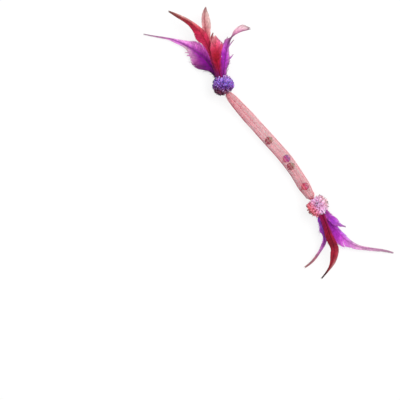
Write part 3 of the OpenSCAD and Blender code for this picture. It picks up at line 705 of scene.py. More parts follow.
def sweepBarbs(shape, template, v, side, reach, ahead, width, lift, chance, curl=0.0, tone=0.0):
    # bends a copy of the barb from each root to its end, out from the shaft and ahead along it
    lay, (coords, faces) = vaneLay, template
    count, length = len(v), shape["length"] * mm
    t = np.clip(coords[None, :, 0], 0, 1)
    reach, ahead = reach[:, None], ahead[:, None]
    phase = chance.uniform(0, 2 * math.pi, count)[:, None]
    wave = np.sin(t * lay["waves"] + phase) * reach * lay["wave"]
    lean = np.arctan2(reach, ahead)
    roll = chance.normal(lay["roll"], lay["roll"], count)[:, None]
    flat, thick = coords[None, :, 1] * width, coords[None, :, 2] * width
    wideness = flat * np.cos(roll) - thick * np.sin(roll)
    straight = reach * t * (1 + lay["bow"] * (1 - t))
    forward = ahead * t * (1 - lay["swing"] * (1 - t)) + wideness * np.sin(lean)
    out = straight - wideness * np.cos(lean) + wave
    up = lift[:, None] * t ** lay["liftGrowth"] - lay["camber"] * straight + curl * reach * t ** 2
    up = up + chance.normal(0, lay["unevenness"], count)[:, None] + flat * np.sin(roll) + thick * np.cos(roll)
    x, y, z, heading = shaftSpots(shape, lay["quillLength"] + v[:, None] * length + forward)
    points = np.stack([x - side * out * np.sin(heading), y + side * out * np.cos(heading), z + up], -1)
    along = np.clip(v[:, None] + forward / length, 0, 1)
    shade = np.clip(chance.normal(0.5, lay["tone"], count) + tone, 0, 1)[:, None] * np.ones_like(t)
    across = np.broadcast_to(t, x.shape) * np.clip(reach / lay["edgeFrom"], 0, 1)
    values = {"along": along.ravel(), "across": across.ravel(), "shade": shade.ravel(),
              "side": np.full(along.size, 0.0 if side > 0 else 1.0)}
    turned = faces if side > 0 else faces[:, ::-1]
    return points.reshape(-1, 3), repeatFaces(turned, count, len(coords)), values


def layShaft(shape):
    # the quill and shaft: a round tube that thins to the tip
    lay, sides = vaneLay, vaneLay["shaftSides"]
    quill, length = lay["quillLength"], shape["length"] * mm
    end = (quill + length) * shape["shaftTo"]
    distance = np.concatenate([np.linspace(0, 0.9 * quill, lay["quillRings"]),
                               np.linspace(quill, end, lay["shaftRings"])])
    v = np.clip((distance - quill) / length, 0, 1)
    line = np.stack(shaftSpots(shape, distance)[:3], -1)
    radii = lay["quillRadius"] + (lay["tipRadius"] - lay["quillRadius"]) * v ** lay["thinning"]
    radii[0] *= lay["footWidth"]
    ahead = unit(np.gradient(line, axis=0))
    across = unit(np.cross(np.array([0, 0, 1.0]), ahead))
    up = np.cross(ahead, across)
    turn = (np.arange(sides) * 2 * math.pi / sides)[None, :, None]
    spoke = across[:, None] * np.cos(turn) + up[:, None] * np.sin(turn)
    rings = line[:, None] + radii[:, None, None] * spoke
    ring, corner = np.meshgrid(np.arange(len(line) - 1), np.arange(sides), indexing="ij")
    following = (corner + 1) % sides
    a, b = ring * sides + corner, ring * sides + following
    c, d = (ring + 1) * sides + following, (ring + 1) * sides + corner
    faces = np.concatenate([np.stack([a, b, c], -1).reshape(-1, 3), np.stack([a, c, d], -1).reshape(-1, 3)])
    last = (len(line) - 1) * sides
    caps = [[0, k + 1, k] for k in range(1, sides - 1)]
    caps += [[last, last + k, last + k + 1] for k in range(1, sides - 1)]
    count = len(line) * sides
    return (rings.reshape(-1, 3), np.concatenate([faces, caps]),
            {"along": np.repeat(v, sides), "across": np.zeros(count), "shade": np.full(count, 0.5),
             "side": np.full(count, 0.5)})


def makeFeather(name, end, node, shape, template):
    shape = {**usualFeather, **shape}
    chance = np.random.default_rng(shape["seed"])
    parts = [layShaft(shape)]
    for side in (1, -1):
        parts.append(layBarbs(shape, side, template, chance))
        parts.append(layDown(shape, side, template, chance))
    for wisp in shape["wisps"]:
        parts.append(layWisp(shape, wisp, template, chance))
    starts = np.cumsum([0] + [len(part[0]) for part in parts])
    coords = placed(np.concatenate([part[0] for part in parts]), ballFrame(end))
    coords[:, 2] = np.maximum(coords[:, 2], vaneLay["clearOfTable"])
    faces = np.concatenate([part[1] + start for part, start in zip(parts, starts)])
    values = {key: np.concatenate([part[2][key] for part in parts]) for key in parts[0][2]}
    piece = makeMesh(name, coords, faces, values, dyedFeather(name + "Dye", shape))
    piece.data.materials.append(quillFinish(name + "Quill", shape["quillLow"], shape["quillHigh"]))
    picks = np.zeros(len(piece.data.polygons), np.int32)
    picks[:len(parts[0][1])] = 1
    piece.data.polygons.foreach_set("material_index", picks)
    finishPiece(piece, end + "_end", node)
    print("feather laid:", name, len(piece.data.polygons), "faces")


# The feathers themselves: lengths in millimetres and headings in degrees. A seat is a share of the
# glue plug's radius, sideways and up. "left" and "right" are the outline, as shares of the widest
# reach on that side. "core" is the colour by the shaft, and "edge" that of the barbs' ends. A wisp
# is a side, the places of its root and its end along the shaft, a reach and a count.

violetStreamer = {
    "seed": 101, "seat": (0.35, -0.68), "quillHeading": 2, "length": 111, "leftReach": 16.6,
    "rightReach": 12.5, "middleHeight": 5, "tipHeight": 2.5,
    "headings": [-4, 15, 27, 40, 54, 50],
    "left": [0.15, 0.32, 0.88, 1, 0.5, 0.2, 0.2, 0.12, 0.1, 0.07, 0.05],
    "right": [0.2, 0.3, 0.7, 1, 1, 0.45, 0.2, 0.08, 0.04, 0.04, 0.02],
    "core": [(0, (120, 20, 115)), (0.15, (140, 16, 150)), (0.3, (150, 22, 158)), (0.42, (180, 68, 180)),
             (0.6, (180, 75, 180)), (0.72, (185, 110, 172)), (1, (160, 135, 150))],
    "edge": [(0, (80, 25, 75)), (0.15, (105, 30, 105)), (0.28, (150, 60, 135)), (0.4, (215, 140, 200)),
             (0.48, (242, 205, 218)), (0.58, (220, 130, 215)), (0.78, (200, 140, 182)),
             (1, (185, 165, 172))],
    # the right edge's first part is written brighter, painted light that makes up for the red streamer's
    # shadow on it
    "rightEdge": [(0, (185, 60, 170)), (0.12, (240, 95, 232)), (0.3, (252, 112, 242)),
                  (0.52, (238, 155, 225)), (0.62, (225, 150, 215)), (0.72, (195, 130, 180)),
                  (1, (175, 145, 160))],
    "quillLow": (75, 5, 85), "quillHigh": (165, 110, 150), "down": 70, "downTo": 0.14,
    "ragged": [0.01, 0.01, 0.015, 0.04, 0.06, 0.03], "gather": 0.02, "blend": (0.12, 0.6),
    "rim": (165, 130, 145), "rimShare": 0.2,
    "wisps": [(1, 0.36, 0.466, 9, 44), (1, 0.33, 0.425, 11, 40)],
}
redStreamer = {
    "seed": 102, "seat": (0.22, 0.3), "quillHeading": -5, "length": 106, "leftReach": 10.5,
    "rightReach": 7, "middleHeight": 23, "tipHeight": 20,
    "headings": [-10, -9, -5, 18, 34, 33],
    "left": [0.3, 0.3, 0.28, 0.3, 0.5, 1, 0.6, 0.36, 0.28, 0.22, 0.1],
    "right": [0.3, 0.35, 0.4, 0.5, 0.7, 0.85, 0.6, 0.48, 0.42, 0.3, 0.05],
    "core": [(0, (130, 25, 95)), (0.15, (155, 24, 66)), (0.45, (182, 34, 70)), (0.75, (150, 35, 48)),
             (0.92, (130, 70, 68)), (1, (100, 65, 60))],
    "edge": [(0, (122, 32, 98)), (0.15, (160, 30, 95)), (0.3, (190, 45, 98)), (0.45, (190, 42, 85)),
             (0.6, (172, 30, 62)), (0.75, (150, 35, 50)), (1, (120, 85, 80))],
    "rightEdge": [(0, (143, 27, 102)), (0.15, (150, 15, 50)), (0.48, (188, 45, 78)),
                  (0.6, (205, 85, 95)), (0.82, (228, 165, 160)), (0.93, (200, 140, 135)),
                  (1, (140, 100, 95))],
    "quillLow": (140, 18, 50), "quillHigh": (135, 50, 52), "down": 40, "downTo": 0.12, "ragged": [0.01],
    "gather": 0.0, "blend": (0.1, 0.7),
}
blushFeather = {
    "seed": 103, "seat": (0, -0.15), "quillHeading": -6, "length": 87, "leftReach": 4, "rightReach": 7.6,
    "middleHeight": 14.5, "tipHeight": 22,
    "headings": [-10, -10, -9, -18, -24, -42],
    "left": [0.8, 0.75, 0.7, 0.75, 0.8, 0.85, 0.9, 1, 1, 0.85, 0.05],
    "right": [0.45, 0.4, 0.35, 0.3, 0.35, 0.5, 0.7, 0.95, 1, 0.65, 0.02],
    "core": [(0, (125, 8, 55)), (0.15, (135, 8, 50)), (0.45, (175, 36, 68)), (0.6, (200, 90, 105)),
             (0.75, (195, 120, 125)), (0.92, (185, 130, 130)), (1, (160, 120, 120))],
    "edge": [(0, (125, 8, 55)), (0.15, (130, 10, 55)), (0.45, (190, 60, 85)), (0.6, (225, 130, 140)),
             (0.75, (238, 175, 178)), (0.92, (205, 155, 155)), (1, (170, 125, 125))],
    "rightEdge": [(0, (125, 8, 55)), (0.15, (130, 10, 55)), (0.45, (195, 80, 100)),
                  (0.6, (230, 155, 158)), (0.75, (240, 195, 192)), (0.92, (225, 188, 182)),
                  (1, (180, 140, 138))],
    "quillLow": (110, 10, 45), "quillHigh": (150, 45, 65), "down": 30, "downTo": 0.1,
    "blend": (0.05, 0.8), "rim": (150, 105, 105),
}
smallRed = {
    "seed": 104, "seat": (-0.28, -0.62), "quillHeading": -7, "length": 55, "leftReach": 2.9,
    "rightReach": 2.8, "middleHeight": 9.5, "tipHeight": 9,
    "headings": [-5, -6, -9, -18, -36, -54],
    "left": [1, 0.9, 0.75, 0.6, 0.5, 0.4, 0.35, 0.15],
    "right": [1, 1, 1, 1, 0.95, 0.9, 0.65, 0.3],
    "core": [(0, (140, 18, 60)), (0.45, (168, 33, 56)), (0.6, (195, 55, 90)), (0.75, (180, 46, 82)),
             (1, (150, 85, 85))],
    "edge": [(0, (145, 20, 58)), (0.45, (171, 33, 56)), (0.6, (205, 62, 100)), (0.75, (187, 46, 86)),
             (1, (160, 95, 95))],
    "quillLow": (120, 15, 45), "quillHigh": (165, 80, 85), "down": 20, "downTo": 0.2, "shaftTo": 0.93,
}
broadRed = {
    "seed": 105, "seat": (-0.2, 0.78), "quillHeading": -9, "length": 48, "leftReach": 7.5,
    "rightReach": 8.8, "middleHeight": 25, "tipHeight": 33,
    "headings": [-14, -18, -21, -25, -23, -21],
    "left": [0.55, 0.55, 0.6, 0.7, 0.8, 0.95, 1, 1, 0.9, 0.7, 0.15],
    "right": [0.4, 0.4, 0.45, 0.5, 0.6, 0.7, 0.8, 1, 1, 0.4, 0.05],
    "core": [(0, (132, 20, 100)), (0.15, (150, 15, 55)), (0.35, (158, 14, 36)), (0.5, (165, 20, 42)),
             (0.65, (200, 48, 80)), (0.78, (225, 85, 115)), (1, (238, 160, 165))],
    "edge": [(0, (130, 30, 100)), (0.15, (150, 25, 75)), (0.35, (165, 28, 62)), (0.5, (185, 38, 72)),
             (0.65, (205, 58, 95)), (0.8, (222, 100, 122)), (1, (235, 160, 162))],
    "rightEdge": [(0, (120, 15, 105)), (0.15, (165, 35, 135)), (0.35, (165, 22, 100)),
                  (0.65, (205, 60, 115)), (0.8, (220, 88, 140)), (1, (220, 135, 155))],
    "quillLow": (120, 5, 30), "quillHigh": (185, 40, 70), "down": 60, "downTo": 0.3,
    "ragged": [0.01, 0.02, 0.02, 0.03, 0.05], "gather": 0.0,
}
paddle = {
    "seed": 106, "seat": (-0.75, 0.1), "quillHeading": -24, "length": 72, "leftReach": 10.5,
    "rightReach": 6.4, "middleHeight": 17, "tipHeight": 24,
    "headings": [-33, -34, -36, -41, -53, -87, -105, -105],
    "left": [0.6, 0.7, 0.8, 0.9, 1, 1, 1, 0.95, 0.85, 0.5, 0.58, 0.1, 0.14, 0.34, 0.58, 0.76, 0.76, 0.45,
             0.1],
    "right": [0.55, 0.55, 0.75, 0.95, 1, 0.8, 0.6, 0.45, 0.35, 0.3, 0.2, 0.1, 0.12, 0.15, 0.12, 0.1,
              0.08, 0.08, 0.05],
    "core": [(0, (155, 40, 155)), (0.3, (172, 42, 188)), (0.45, (160, 60, 165)), (0.56, (110, 50, 100)),
             (0.64, (105, 55, 90)), (0.75, (215, 140, 180)), (1, (140, 105, 120))],
    "edge": [(0, (160, 38, 140)), (0.15, (165, 30, 165)), (0.3, (200, 55, 215)), (0.45, (235, 110, 240)),
             (0.56, (200, 115, 190)), (0.66, (215, 160, 190)), (0.76, (245, 202, 215)),
             (0.92, (238, 205, 212)), (1, (180, 145, 160))],
    "rightEdge": [(0, (165, 90, 165)), (0.15, (160, 85, 160)), (0.3, (190, 105, 190)),
                  (0.45, (205, 145, 205)), (0.6, (150, 90, 130)), (0.75, (190, 130, 165)),
                  (1, (180, 130, 150))],
    "quillLow": (115, 30, 110), "quillHigh": (140, 90, 120), "down": 90, "downTo": 0.25,
    "ragged": [0.04, 0.05, 0.08, 0.1, 0.04, 0.01, 0.01], "gather": 0.0, "blend": (0.1, 0.8),
    "rim": (150, 112, 118), "rimRange": (0.62, 0.95), "rimShare": 0.6,
    "wisps": [(-1, 0.2, 0.34, 9.5, 22), (-1, 0.43, 0.62, 4.5, 12), (1, 0.44, 0.6, 5, 12)],
}
violetHook = {
    "seed": 107, "seat": (-0.6, -0.05), "quillHeading": -19, "length": 73, "leftReach": 5,
    "rightReach": 6.4, "middleHeight": 9, "tipHeight": 3,
    "headings": [-23, -20, -46, -70, -79, -99],
    "left": [0.85, 1, 0.9, 0.6, 0.75, 0.45, 0.2, 0.25, 0.3, 0.2, 0.15],
    "right": [0.45, 0.75, 0.5, 0.7, 1, 0.95, 0.5, 0.38, 0.34, 0.4, 0.42, 0.4, 0.38, 0.36, 0.34, 0.3,
              0.28, 0.27, 0.25, 0.22, 0.2],
    "core": [(0, (150, 65, 200)), (0.15, (160, 75, 205)), (0.3, (155, 65, 190)), (0.45, (175, 80, 185)),
             (0.6, (175, 105, 165)), (0.75, (175, 110, 125)), (1, (150, 105, 105))],
    "edge": [(0, (170, 80, 195)), (0.15, (185, 110, 222)), (0.3, (185, 80, 200)), (0.45, (185, 80, 180)),
             (0.75, (180, 120, 125)), (1, (160, 120, 115))],
    "rightEdge": [(0, (150, 60, 175)), (0.15, (175, 75, 190)), (0.3, (180, 75, 190)),
                  (0.45, (205, 110, 195)), (0.6, (185, 120, 170)), (0.75, (180, 120, 130)),
                  (1, (160, 120, 115))],
    "quillLow": (110, 25, 115), "quillHigh": (125, 85, 90), "down": 60, "downTo": 0.25,
    "ragged": [0.05, 0.1, 0.08, 0.04, 0.03], "gather": 0.0,
}
crimsonFeather = {
    "seed": 108, "seat": (-0.15, 0.25), "quillHeading": -9, "length": 85, "leftReach": 5.8,
    "rightReach": 6.5, "middleHeight": 19, "tipHeight": 12,
    "headings": [-16, -19, -17, -49, -67, -79],
    "left": [0.45, 0.4, 0.45, 0.55, 0.72, 1, 0.95, 0.85, 0.45, 0.22, 0.15],
    "right": [0.8, 0.75, 0.8, 1, 1, 0.65, 0.7, 0.35, 0.14, 0.12, 0.1],
    "core": [(0, (135, 10, 65)), (0.15, (125, 5, 50)), (0.3, (140, 12, 42)), (0.45, (128, 20, 40)),
             (0.6, (165, 34, 56)), (0.75, (155, 38, 52)), (0.88, (75, 30, 36)), (1, (38, 22, 26))],
    "edge": [(0, (170, 36, 110)), (0.15, (165, 25, 115)), (0.3, (165, 22, 100)), (0.45, (160, 35, 65)),
             (0.6, (175, 75, 85)), (0.72, (220, 145, 148)), (0.88, (140, 85, 85)), (1, (60, 40, 42))],
    "rightEdge": [(0, (140, 20, 95)), (0.15, (118, 5, 53)), (0.3, (140, 12, 48)), (0.45, (130, 28, 45)),
                  (0.6, (160, 38, 57)), (0.75, (132, 32, 40)), (0.9, (75, 35, 40)), (1, (45, 28, 30))],
    "quillLow": (95, 8, 38), "quillHigh": (50, 22, 26), "down": 50, "downTo": 0.2,
    "ragged": [0.01, 0.01, 0.02, 0.05, 0.03], "gather": 0.0, "blend": (0.3, 1),
}
violetPlume = {
    "seed": 109, "seat": (0.2, -0.62), "quillHeading": 0, "length": 105, "leftReach": 5.7,
    "rightReach": 13, "middleHeight": 7.5, "tipHeight": 3,
    "headings": [-4, -1, 13, 42, 46, 34],
    "left": [1, 0.9, 0.75, 0.8, 0.75, 0.5, 0.3, 0.28, 0.26, 0.2, 0.14],
    "right": [0.5, 0.75, 1, 1, 0.78, 0.35, 0.24, 0.2, 0.17, 0.14, 0.08],
    # the core near the foot is written brighter, painted light that makes up for the small violet feather's
    # shadow on it
    "core": [(0, (160, 30, 140)), (0.15, (180, 45, 195)), (0.3, (190, 52, 200)), (0.55, (188, 132, 172)),
             (0.75, (195, 140, 176)), (1, (165, 132, 150))],
    "edge": [(0, (212, 110, 188)), (0.15, (175, 68, 188)), (0.3, (195, 112, 222)),
             (0.55, (205, 158, 188)), (0.75, (208, 160, 188)), (1, (185, 155, 170))],
    "rightEdge": [(0, (165, 30, 140)), (0.3, (190, 55, 190)), (0.42, (210, 110, 210)),
                  (0.6, (205, 150, 190)), (1, (185, 155, 170))],
    "quillLow": (150, 30, 160), "quillHigh": (165, 105, 150), "down": 90, "downTo": 0.22,
    "ragged": [0.01, 0.02, 0.06, 0.06, 0.03], "gather": 0.0, "blend": (0.1, 0.7), "rim": (150, 80, 140),
}
smallViolet = {
    "seed": 110, "seat": (0.55, 0.1), "quillHeading": 4, "length": 30, "leftReach": 4.6,
    "rightReach": 4.6, "middleHeight": 15.5, "tipHeight": 20,
    "headings": [6, 7, 10, 19, 31, 32],
    "left": [0.75, 0.75, 0.9, 1, 1, 0.75, 0.3, 0.22, 0.22],
    "right": [0.9, 1, 1, 1, 0.9, 0.6, 0.25, 0.1],
    "core": [(0, (165, 60, 160)), (0.3, (155, 45, 185)), (0.45, (165, 60, 195)), (0.6, (185, 85, 205)),
             (0.75, (185, 100, 197)), (1, (150, 130, 150))],
    "edge": [(0, (185, 100, 170)), (0.15, (205, 120, 190)), (0.3, (200, 105, 200)),
             (0.45, (208, 114, 205)), (0.75, (212, 150, 231)), (1, (160, 140, 160))],
    "rightEdge": [(0, (180, 80, 155)), (0.15, (190, 70, 160)), (0.3, (182, 68, 184)),
                  (0.45, (168, 60, 190)), (0.6, (185, 80, 184)), (0.75, (185, 100, 190)),
                  (1, (174, 147, 178))],
    "quillLow": (150, 60, 140), "quillHigh": (160, 100, 165), "down": 25, "downTo": 0.3,
    "rim": (130, 100, 120),
}

featherList = [
    ("violetStreamerFeather", "upper", "upper_violet_streamer", "feather_violet", violetStreamer),
    ("redStreamerFeather", "upper", "upper_red_streamer", "feather_red", redStreamer),
    ("blushFeather", "upper", "upper_blush_feather", "feather_blush", blushFeather),
    ("smallRedFeather", "upper", "upper_small_red_feather", "feather_red", smallRed),
    ("broadRedFeather", "upper", "upper_broad_red_feather", "feather_red", broadRed),
    ("paddleFeather", "upper", "upper_paddle_feather", "feather_violet", paddle),
    ("violetHookFeather", "lower", "lower_violet_hook_feather", "feather_violet", violetHook),
    ("crimsonFeather", "lower", "lower_crimson_feather", "feather_red", crimsonFeather),
    ("violetPlumeFeather", "lower", "lower_violet_plume", "feather_violet", violetPlume),
    ("smallVioletFeather", "lower", "lower_small_violet_feather", "feather_violet", smallViolet),
]


# Tinsel pompoms

tinselCut = {
    # one strip: it stands straight from its root, and bends past "bendFrom" of its length
    "thickness": 0.06 * mm, "cuts": 4, "curveSteps": 8, "rootWidth": 0.6, "slant": 0.07, "widths": (0.7, 1.3),
    "twist": 0.5, "rootShare": 0.36, "bendFrom": 0.42, "bendGrowth": 1.2, "mostBend": 1.65, "looseLean": 0.6,
    # how strips spread over the ball, with straight spikes and shorter strips among them
    "scatter": 0.03, "clumpScatter": 0.04, "gatherOver": math.radians(35), "topSize": 0.4,
    "spikeBend": 0.15, "underReach": (0.76, 0.9), "underBend": (0.5, 1),
    # the opening that the sleeve turns in is wider than it is tall, with calmer, shorter strips round it
    "neckWide": math.radians(30), "neckTall": math.radians(23), "neckCalm": math.radians(14),
    "neckShort": 0.15, "neckCorners": 4,
    # the gap round a quill, which is measured at some shares of a strip, and the least height of all
    "quillLean": math.radians(10), "room": 0.7 * mm, "roomShares": (0.45, 0.6, 0.75, 0.9, 1),
    "clearOfTable": 0.1 * mm,
    # the tied waist
    "waistRadius": 5.3 * mm, "waistLength": 7 * mm, "waistRound": 0.8 * mm, "waistGap": 0.7 * mm,
    # how the film's painted shade goes: at most this bright, lessening with height, fading in over the side
    # away from the light, with darkened tips below this height
    "brightest": 1.3, "topFade": 1.3, "farFade": 0.4, "shadedTipTo": 1.2,
}
# the light side, far shade and its start, top and rim tones, root, deep-top and tip colours, the darkened-tip
# share and the film ramp paint light and shade onto the film; the film's own colour is violet or pink
violetBall = {
    "seed": 11, "strips": 1700, "clumps": 700, "gather": 0.4, "width": 1.2 * mm,
    "bend": 0.65, "poleBend": 1.8, "topBend": 1.1,
    "spread": 0.035, "spikes": 0.3, "spikeReach": 0.11, "under": 0.4,
    "lightSide": (-0.7, 0.75, 0), "farShade": 0.25, "farFrom": 0.3, "topTone": 0.28, "rimTone": 0.5,
    "root": (85, 28, 80), "deepTop": (125, 80, 180), "rootFade": (0.4, 0.8),
    "tip": (55, 22, 42), "tipShare": 0.9, "shadedTipShare": 0.5, "glow": (1, 0.4, 0.4),
    "film": [(0, (120, 58, 95)), (0.2, (140, 70, 105)), (0.33, (125, 62, 135)), (0.46, (158, 105, 205)),
             (0.65, (188, 146, 248)), (0.82, (205, 155, 248)), (1, (220, 175, 240))],
}
pinkBall = {
    "seed": 23, "strips": 1300, "clumps": 200, "gather": 0.6, "width": 1.5 * mm,
    "bend": 0.08, "poleBend": 2, "topBend": 1.9,
    "spread": 0.05, "spikes": 0.4, "spikeReach": 0.13, "under": 0.3,
    "lightSide": (0.09, 1, 0), "farShade": 0.35, "farFrom": 0.65, "topTone": 0.1, "rimTone": 0.5,
    "root": (220, 65, 100), "deepTop": (255, 190, 232), "rootFade": (0.3, 0.55),
    "tip": (75, 28, 36), "tipShare": 0.85, "shadedTipShare": 0.3, "glow": (0.6, 0.4, 0.45),
    "film": [(0.03, (255, 155, 160)), (0.2, (255, 145, 168)), (0.3, (255, 158, 190)), (0.42, (255, 200, 238)),
             (0.55, (255, 215, 248)), (0.75, (255, 205, 230)), (1, (245, 205, 208))],
}


def modelStrip():
    # one strip of film, a unit long: a flat sliver cut into stations, with a slanting end
    clearSelection()
    bpy.ops.mesh.primitive_cube_add(size=1, location=(0.5, 0, 0))
    strip = openPrimitive()
    selectInEdit(strip, "edges", lambda e: abs(e.verts[0].co.x - e.verts[1].co.x) > 0.5)
    bpy.ops.mesh.subdivide(number_cuts=tinselCut["cuts"])
    selectInEdit(strip, "verts", lambda v: v.co.x < 0.01)
    bpy.ops.transform.resize(value=(1, tinselCut["rootWidth"], 1), center_override=(0, 0, 0))
    selectInEdit(strip, "verts", lambda v: v.co.x > 0.99 and v.co.y > 0)
    bpy.ops.transform.translate(value=(-tinselCut["slant"], 0, 0))
    return readTemplate(strip)


def modelWaist():
    # the tied waist that the strips stand on: a round sleeve, bellied and open along its axis
    cut = tinselCut
    radius = cut["waistRadius"]
    clearSelection()
    bpy.ops.mesh.primitive_cylinder_add(vertices=32, radius=radius, depth=cut["waistLength"],
                                        rotation=(0, math.pi / 2, 0))
    waist = openPrimitive()
    selectInEdit(waist, "faces", lambda f: abs(f.normal.x) > 0.9)
    bpy.ops.mesh.inset(thickness=radius - ball["plugRadius"] - cut["waistGap"], use_relative_offset=False)
    bpy.ops.mesh.bridge_edge_loops()
    selectInEdit(waist, "edges", lambda e: all(v.co.yz.length > radius - 0.1 * mm for v in e.verts)
                 and abs(e.verts[0].co.x - e.verts[1].co.x) < 0.1 * mm)
    bpy.ops.mesh.bevel(offset=cut["waistRound"], segments=3, affect="EDGES")
    return readTemplate(waist)


def quillLines(end):
    lines = []
    for name, where, node, slot, shape in featherList:
        if where == end:
            ends = np.stack(shaftSpots(shape, np.array([0.0, vaneLay["quillLength"]]))[:3], -1)
            lines.append((ends[0], ends[1]))
    return lines


def missesQuills(tips, lines, room):
    free = np.ones(len(tips), bool)
    for start, stop in lines:
        run = stop - start
        for share in tinselCut["roomShares"]:
            point = tips * share
            t = np.clip(((point - start) @ run) / (run @ run), 0, 1)
            free &= np.linalg.norm(point - start - t[:, None] * run, axis=1) > room
    return free


def spreadOut(count):
    # directions spread evenly over a ball
    k = np.arange(count) + 0.5
    lean, turn = np.arccos(1 - 2 * k / count), k * math.pi * (3 - math.sqrt(5))
    return np.stack([np.cos(lean), np.sin(lean) * np.cos(turn), np.sin(lean) * np.sin(turn)], -1)


def chooseStrips(end, look, chance):
    # the ways that strips point, in clumps, clear of the quills and of the sleeve's opening
    cut, strips, clumps = tinselCut, look["strips"], look["clumps"]
    out = unit(spreadOut(strips) + chance.normal(0, cut["scatter"], (strips, 3)))
    centres = unit(spreadOut(clumps) + chance.normal(0, cut["clumpScatter"], (clumps, 3)))
    clump = np.argmax(out @ centres.T, axis=1)
    gather = look["gather"] * np.clip(np.arccos(out[:, 2:]) / cut["gatherOver"], 0, 1)
    out = unit(out * (1 - gather) + centres[clump] * gather)
    wide, tall = np.arctan2(out[:, 1], -out[:, 0]), np.arctan2(out[:, 2], -out[:, 0])
    corners = cut["neckCorners"]
    clear = ((wide / cut["neckWide"]) ** corners + (tall / cut["neckTall"]) ** corners) ** (1 / corners)
    keep = missesQuills(out * ball["radius"], quillLines(end), cut["room"])
    keep &= (clear > 1) & (out[:, 0] < math.cos(cut["quillLean"]))
    calm = np.clip((clear - 1) * cut["neckTall"] / cut["neckCalm"], 0, 1)
    return out[keep], clump[keep], calm[keep]


def leanStrips(out, clump, calm, look, chance):
    # strips bend at random, and those round the top fall away from it
    cut, count = tinselCut, len(out)
    rising = np.clip(out[:, 2:], 0, 1)
    level = np.clip(np.hypot(out[:, :1], out[:, 1:2]) / cut["topSize"], 0, 1)
    loose = look["bend"] + (look["poleBend"] - look["bend"]) * (1 - level) ** 2 * (out[:, 2:] > 0)
    lean = chance.normal(0, 1, (look["clumps"], 3))[clump] * level
    lean = lean + chance.normal(0, cut["looseLean"], (count, 3))
    lean = lean * loose - np.array([0, 0, 2 * look["topBend"]]) * rising ** 3 * level ** 2
    lean -= out * np.sum(lean * out, 1, keepdims=True)
    side = unit(np.cross(out, lean))
    bend = np.minimum(np.linalg.norm(lean, axis=1), cut["mostBend"]) * calm
    spike = (chance.random(count) < look["spikes"] * level[:, 0]) & (calm == 1)
    bend[spike] *= cut["spikeBend"]
    reach = ball["radius"] * (1 - np.abs(chance.normal(0, look["spread"], count)))
    reach[spike] = ball["radius"] * (1 + chance.uniform(0, look["spikeReach"], spike.sum()))
    # shorter strips beneath, bent over at random, close the gaps
    under = (chance.random(count) < look["under"]) & ~spike
    reach[under] *= chance.uniform(*cut["underReach"], under.sum())
    reach *= 1 - cut["neckShort"] * (1 - calm)
    bend[under] += chance.uniform(*cut["underBend"], under.sum()) * calm[under]
    return side, bend, reach


def curlStrips(out, side, bend, reach, width, template, chance):
    # lays a copy of the strip along each curve, straight at its root and bent towards its end
    cut, (coords, faces) = tinselCut, template
    count, t, steps = len(out), coords[None, :, 0], cut["curveSteps"] * (cut["cuts"] + 1)
    stations = np.linspace(0, 1, steps + 1)
    past = np.clip((stations - cut["bendFrom"]) / (1 - cut["bendFrom"]), 0, None)
    angles = bend[:, None] * past ** cut["bendGrowth"]
    rise = np.cumsum(np.cos(angles), 1) - np.cos(angles[:, :1])
    fall = np.cumsum(np.sin(angles), 1)
    size = (reach * (1 - cut["rootShare"]) / rise[:, -1])[:, None]
    spot = np.rint(coords[:, 0] * steps).astype(int)
    rise = reach[:, None] * cut["rootShare"] + rise[:, spot] * size
    fall, angle = fall[:, spot] * size, angles[:, spot]
    twist = chance.normal(0, cut["twist"], count)[:, None] * t
    low, high = cut["widths"]
    wide = coords[None, :, 1] * width * (low + (high - low) * chance.random(count))[:, None]
    thick = coords[None, :, 2] * cut["thickness"]
    sideways = wide * np.cos(twist) - thick * np.sin(twist)
    flatways = wide * np.sin(twist) + thick * np.cos(twist)
    radial = rise - flatways * np.sin(angle)
    tangent = fall + flatways * np.cos(angle)
    over = np.cross(side, out)
    points = (out[:, None] * radial[..., None] + side[:, None] * sideways[..., None]
              + over[:, None] * tangent[..., None])
    return points.reshape(-1, 3), repeatFaces(faces, count, len(coords))


def tintStrips(out, bright, look, template, chance):
    # where each strip points, and the painted light on it: a random tone that spreads widest round the rim as
    # painted glints and dark reflections, painted shade on the side away from the light, and a tip darkened
    # at random or on that side
    cut, count, along = tinselCut, len(out), template[0][:, 0]
    height = out[:, 2] * cut["topFade"]
    rim = look["rimTone"] + (look["topTone"] - look["rimTone"]) * eased(height)
    far = np.clip((-out @ bright - look["farFrom"]) / cut["farFade"], 0, 1) * np.clip(1 - height, 0, 1)
    burn = np.maximum(chance.random(count) < look["shadedTipShare"], far) * np.clip(cut["shadedTipTo"] - height, 0, 1)
    shade = np.minimum(np.exp(chance.normal(0, 1, count) * rim), cut["brightest"])
    shade = shade * (1 - look["farShade"] * far)
    values = {"shade": shade, "upward": out[:, 2], "burn": burn, "sideward": 0.5 + 0.5 * out @ bright}
    values = {key: np.repeat(numbers, len(along)) for key, numbers in values.items()}
    return {"along": np.tile(along, count), **values}


def makePompom(name, end, node, look, template):
    chance = np.random.default_rng(look["seed"])
    place = ballFrame(end)
    out, clump, calm = chooseStrips(end, look, chance)
    side, bend, reach = leanStrips(out, clump, calm, look, chance)
    strips, faces = curlStrips(out, side, bend, reach, look["width"], template, chance)
    bright = np.array(place.to_3x3().transposed() @ Vector(look["lightSide"]).normalized())
    values = tintStrips(out, bright, look, template, chance)
    body, bodyFaces = modelWaist()
    points = placed(np.concatenate([strips, body]), place)
    points[:, 2] = np.maximum(points[:, 2], tinselCut["clearOfTable"])
    values = {key: np.concatenate([numbers, np.zeros(len(body))]) for key, numbers in values.items()}
    piece = makeMesh(name, points, np.concatenate([faces, bodyFaces + len(strips)]), values,
                     tinselFilm(name + "Film", look))
    finishPiece(piece, end + "_end", node)
    print("pompom cut:", name, len(out), "strips")


# CAD nodes that stay

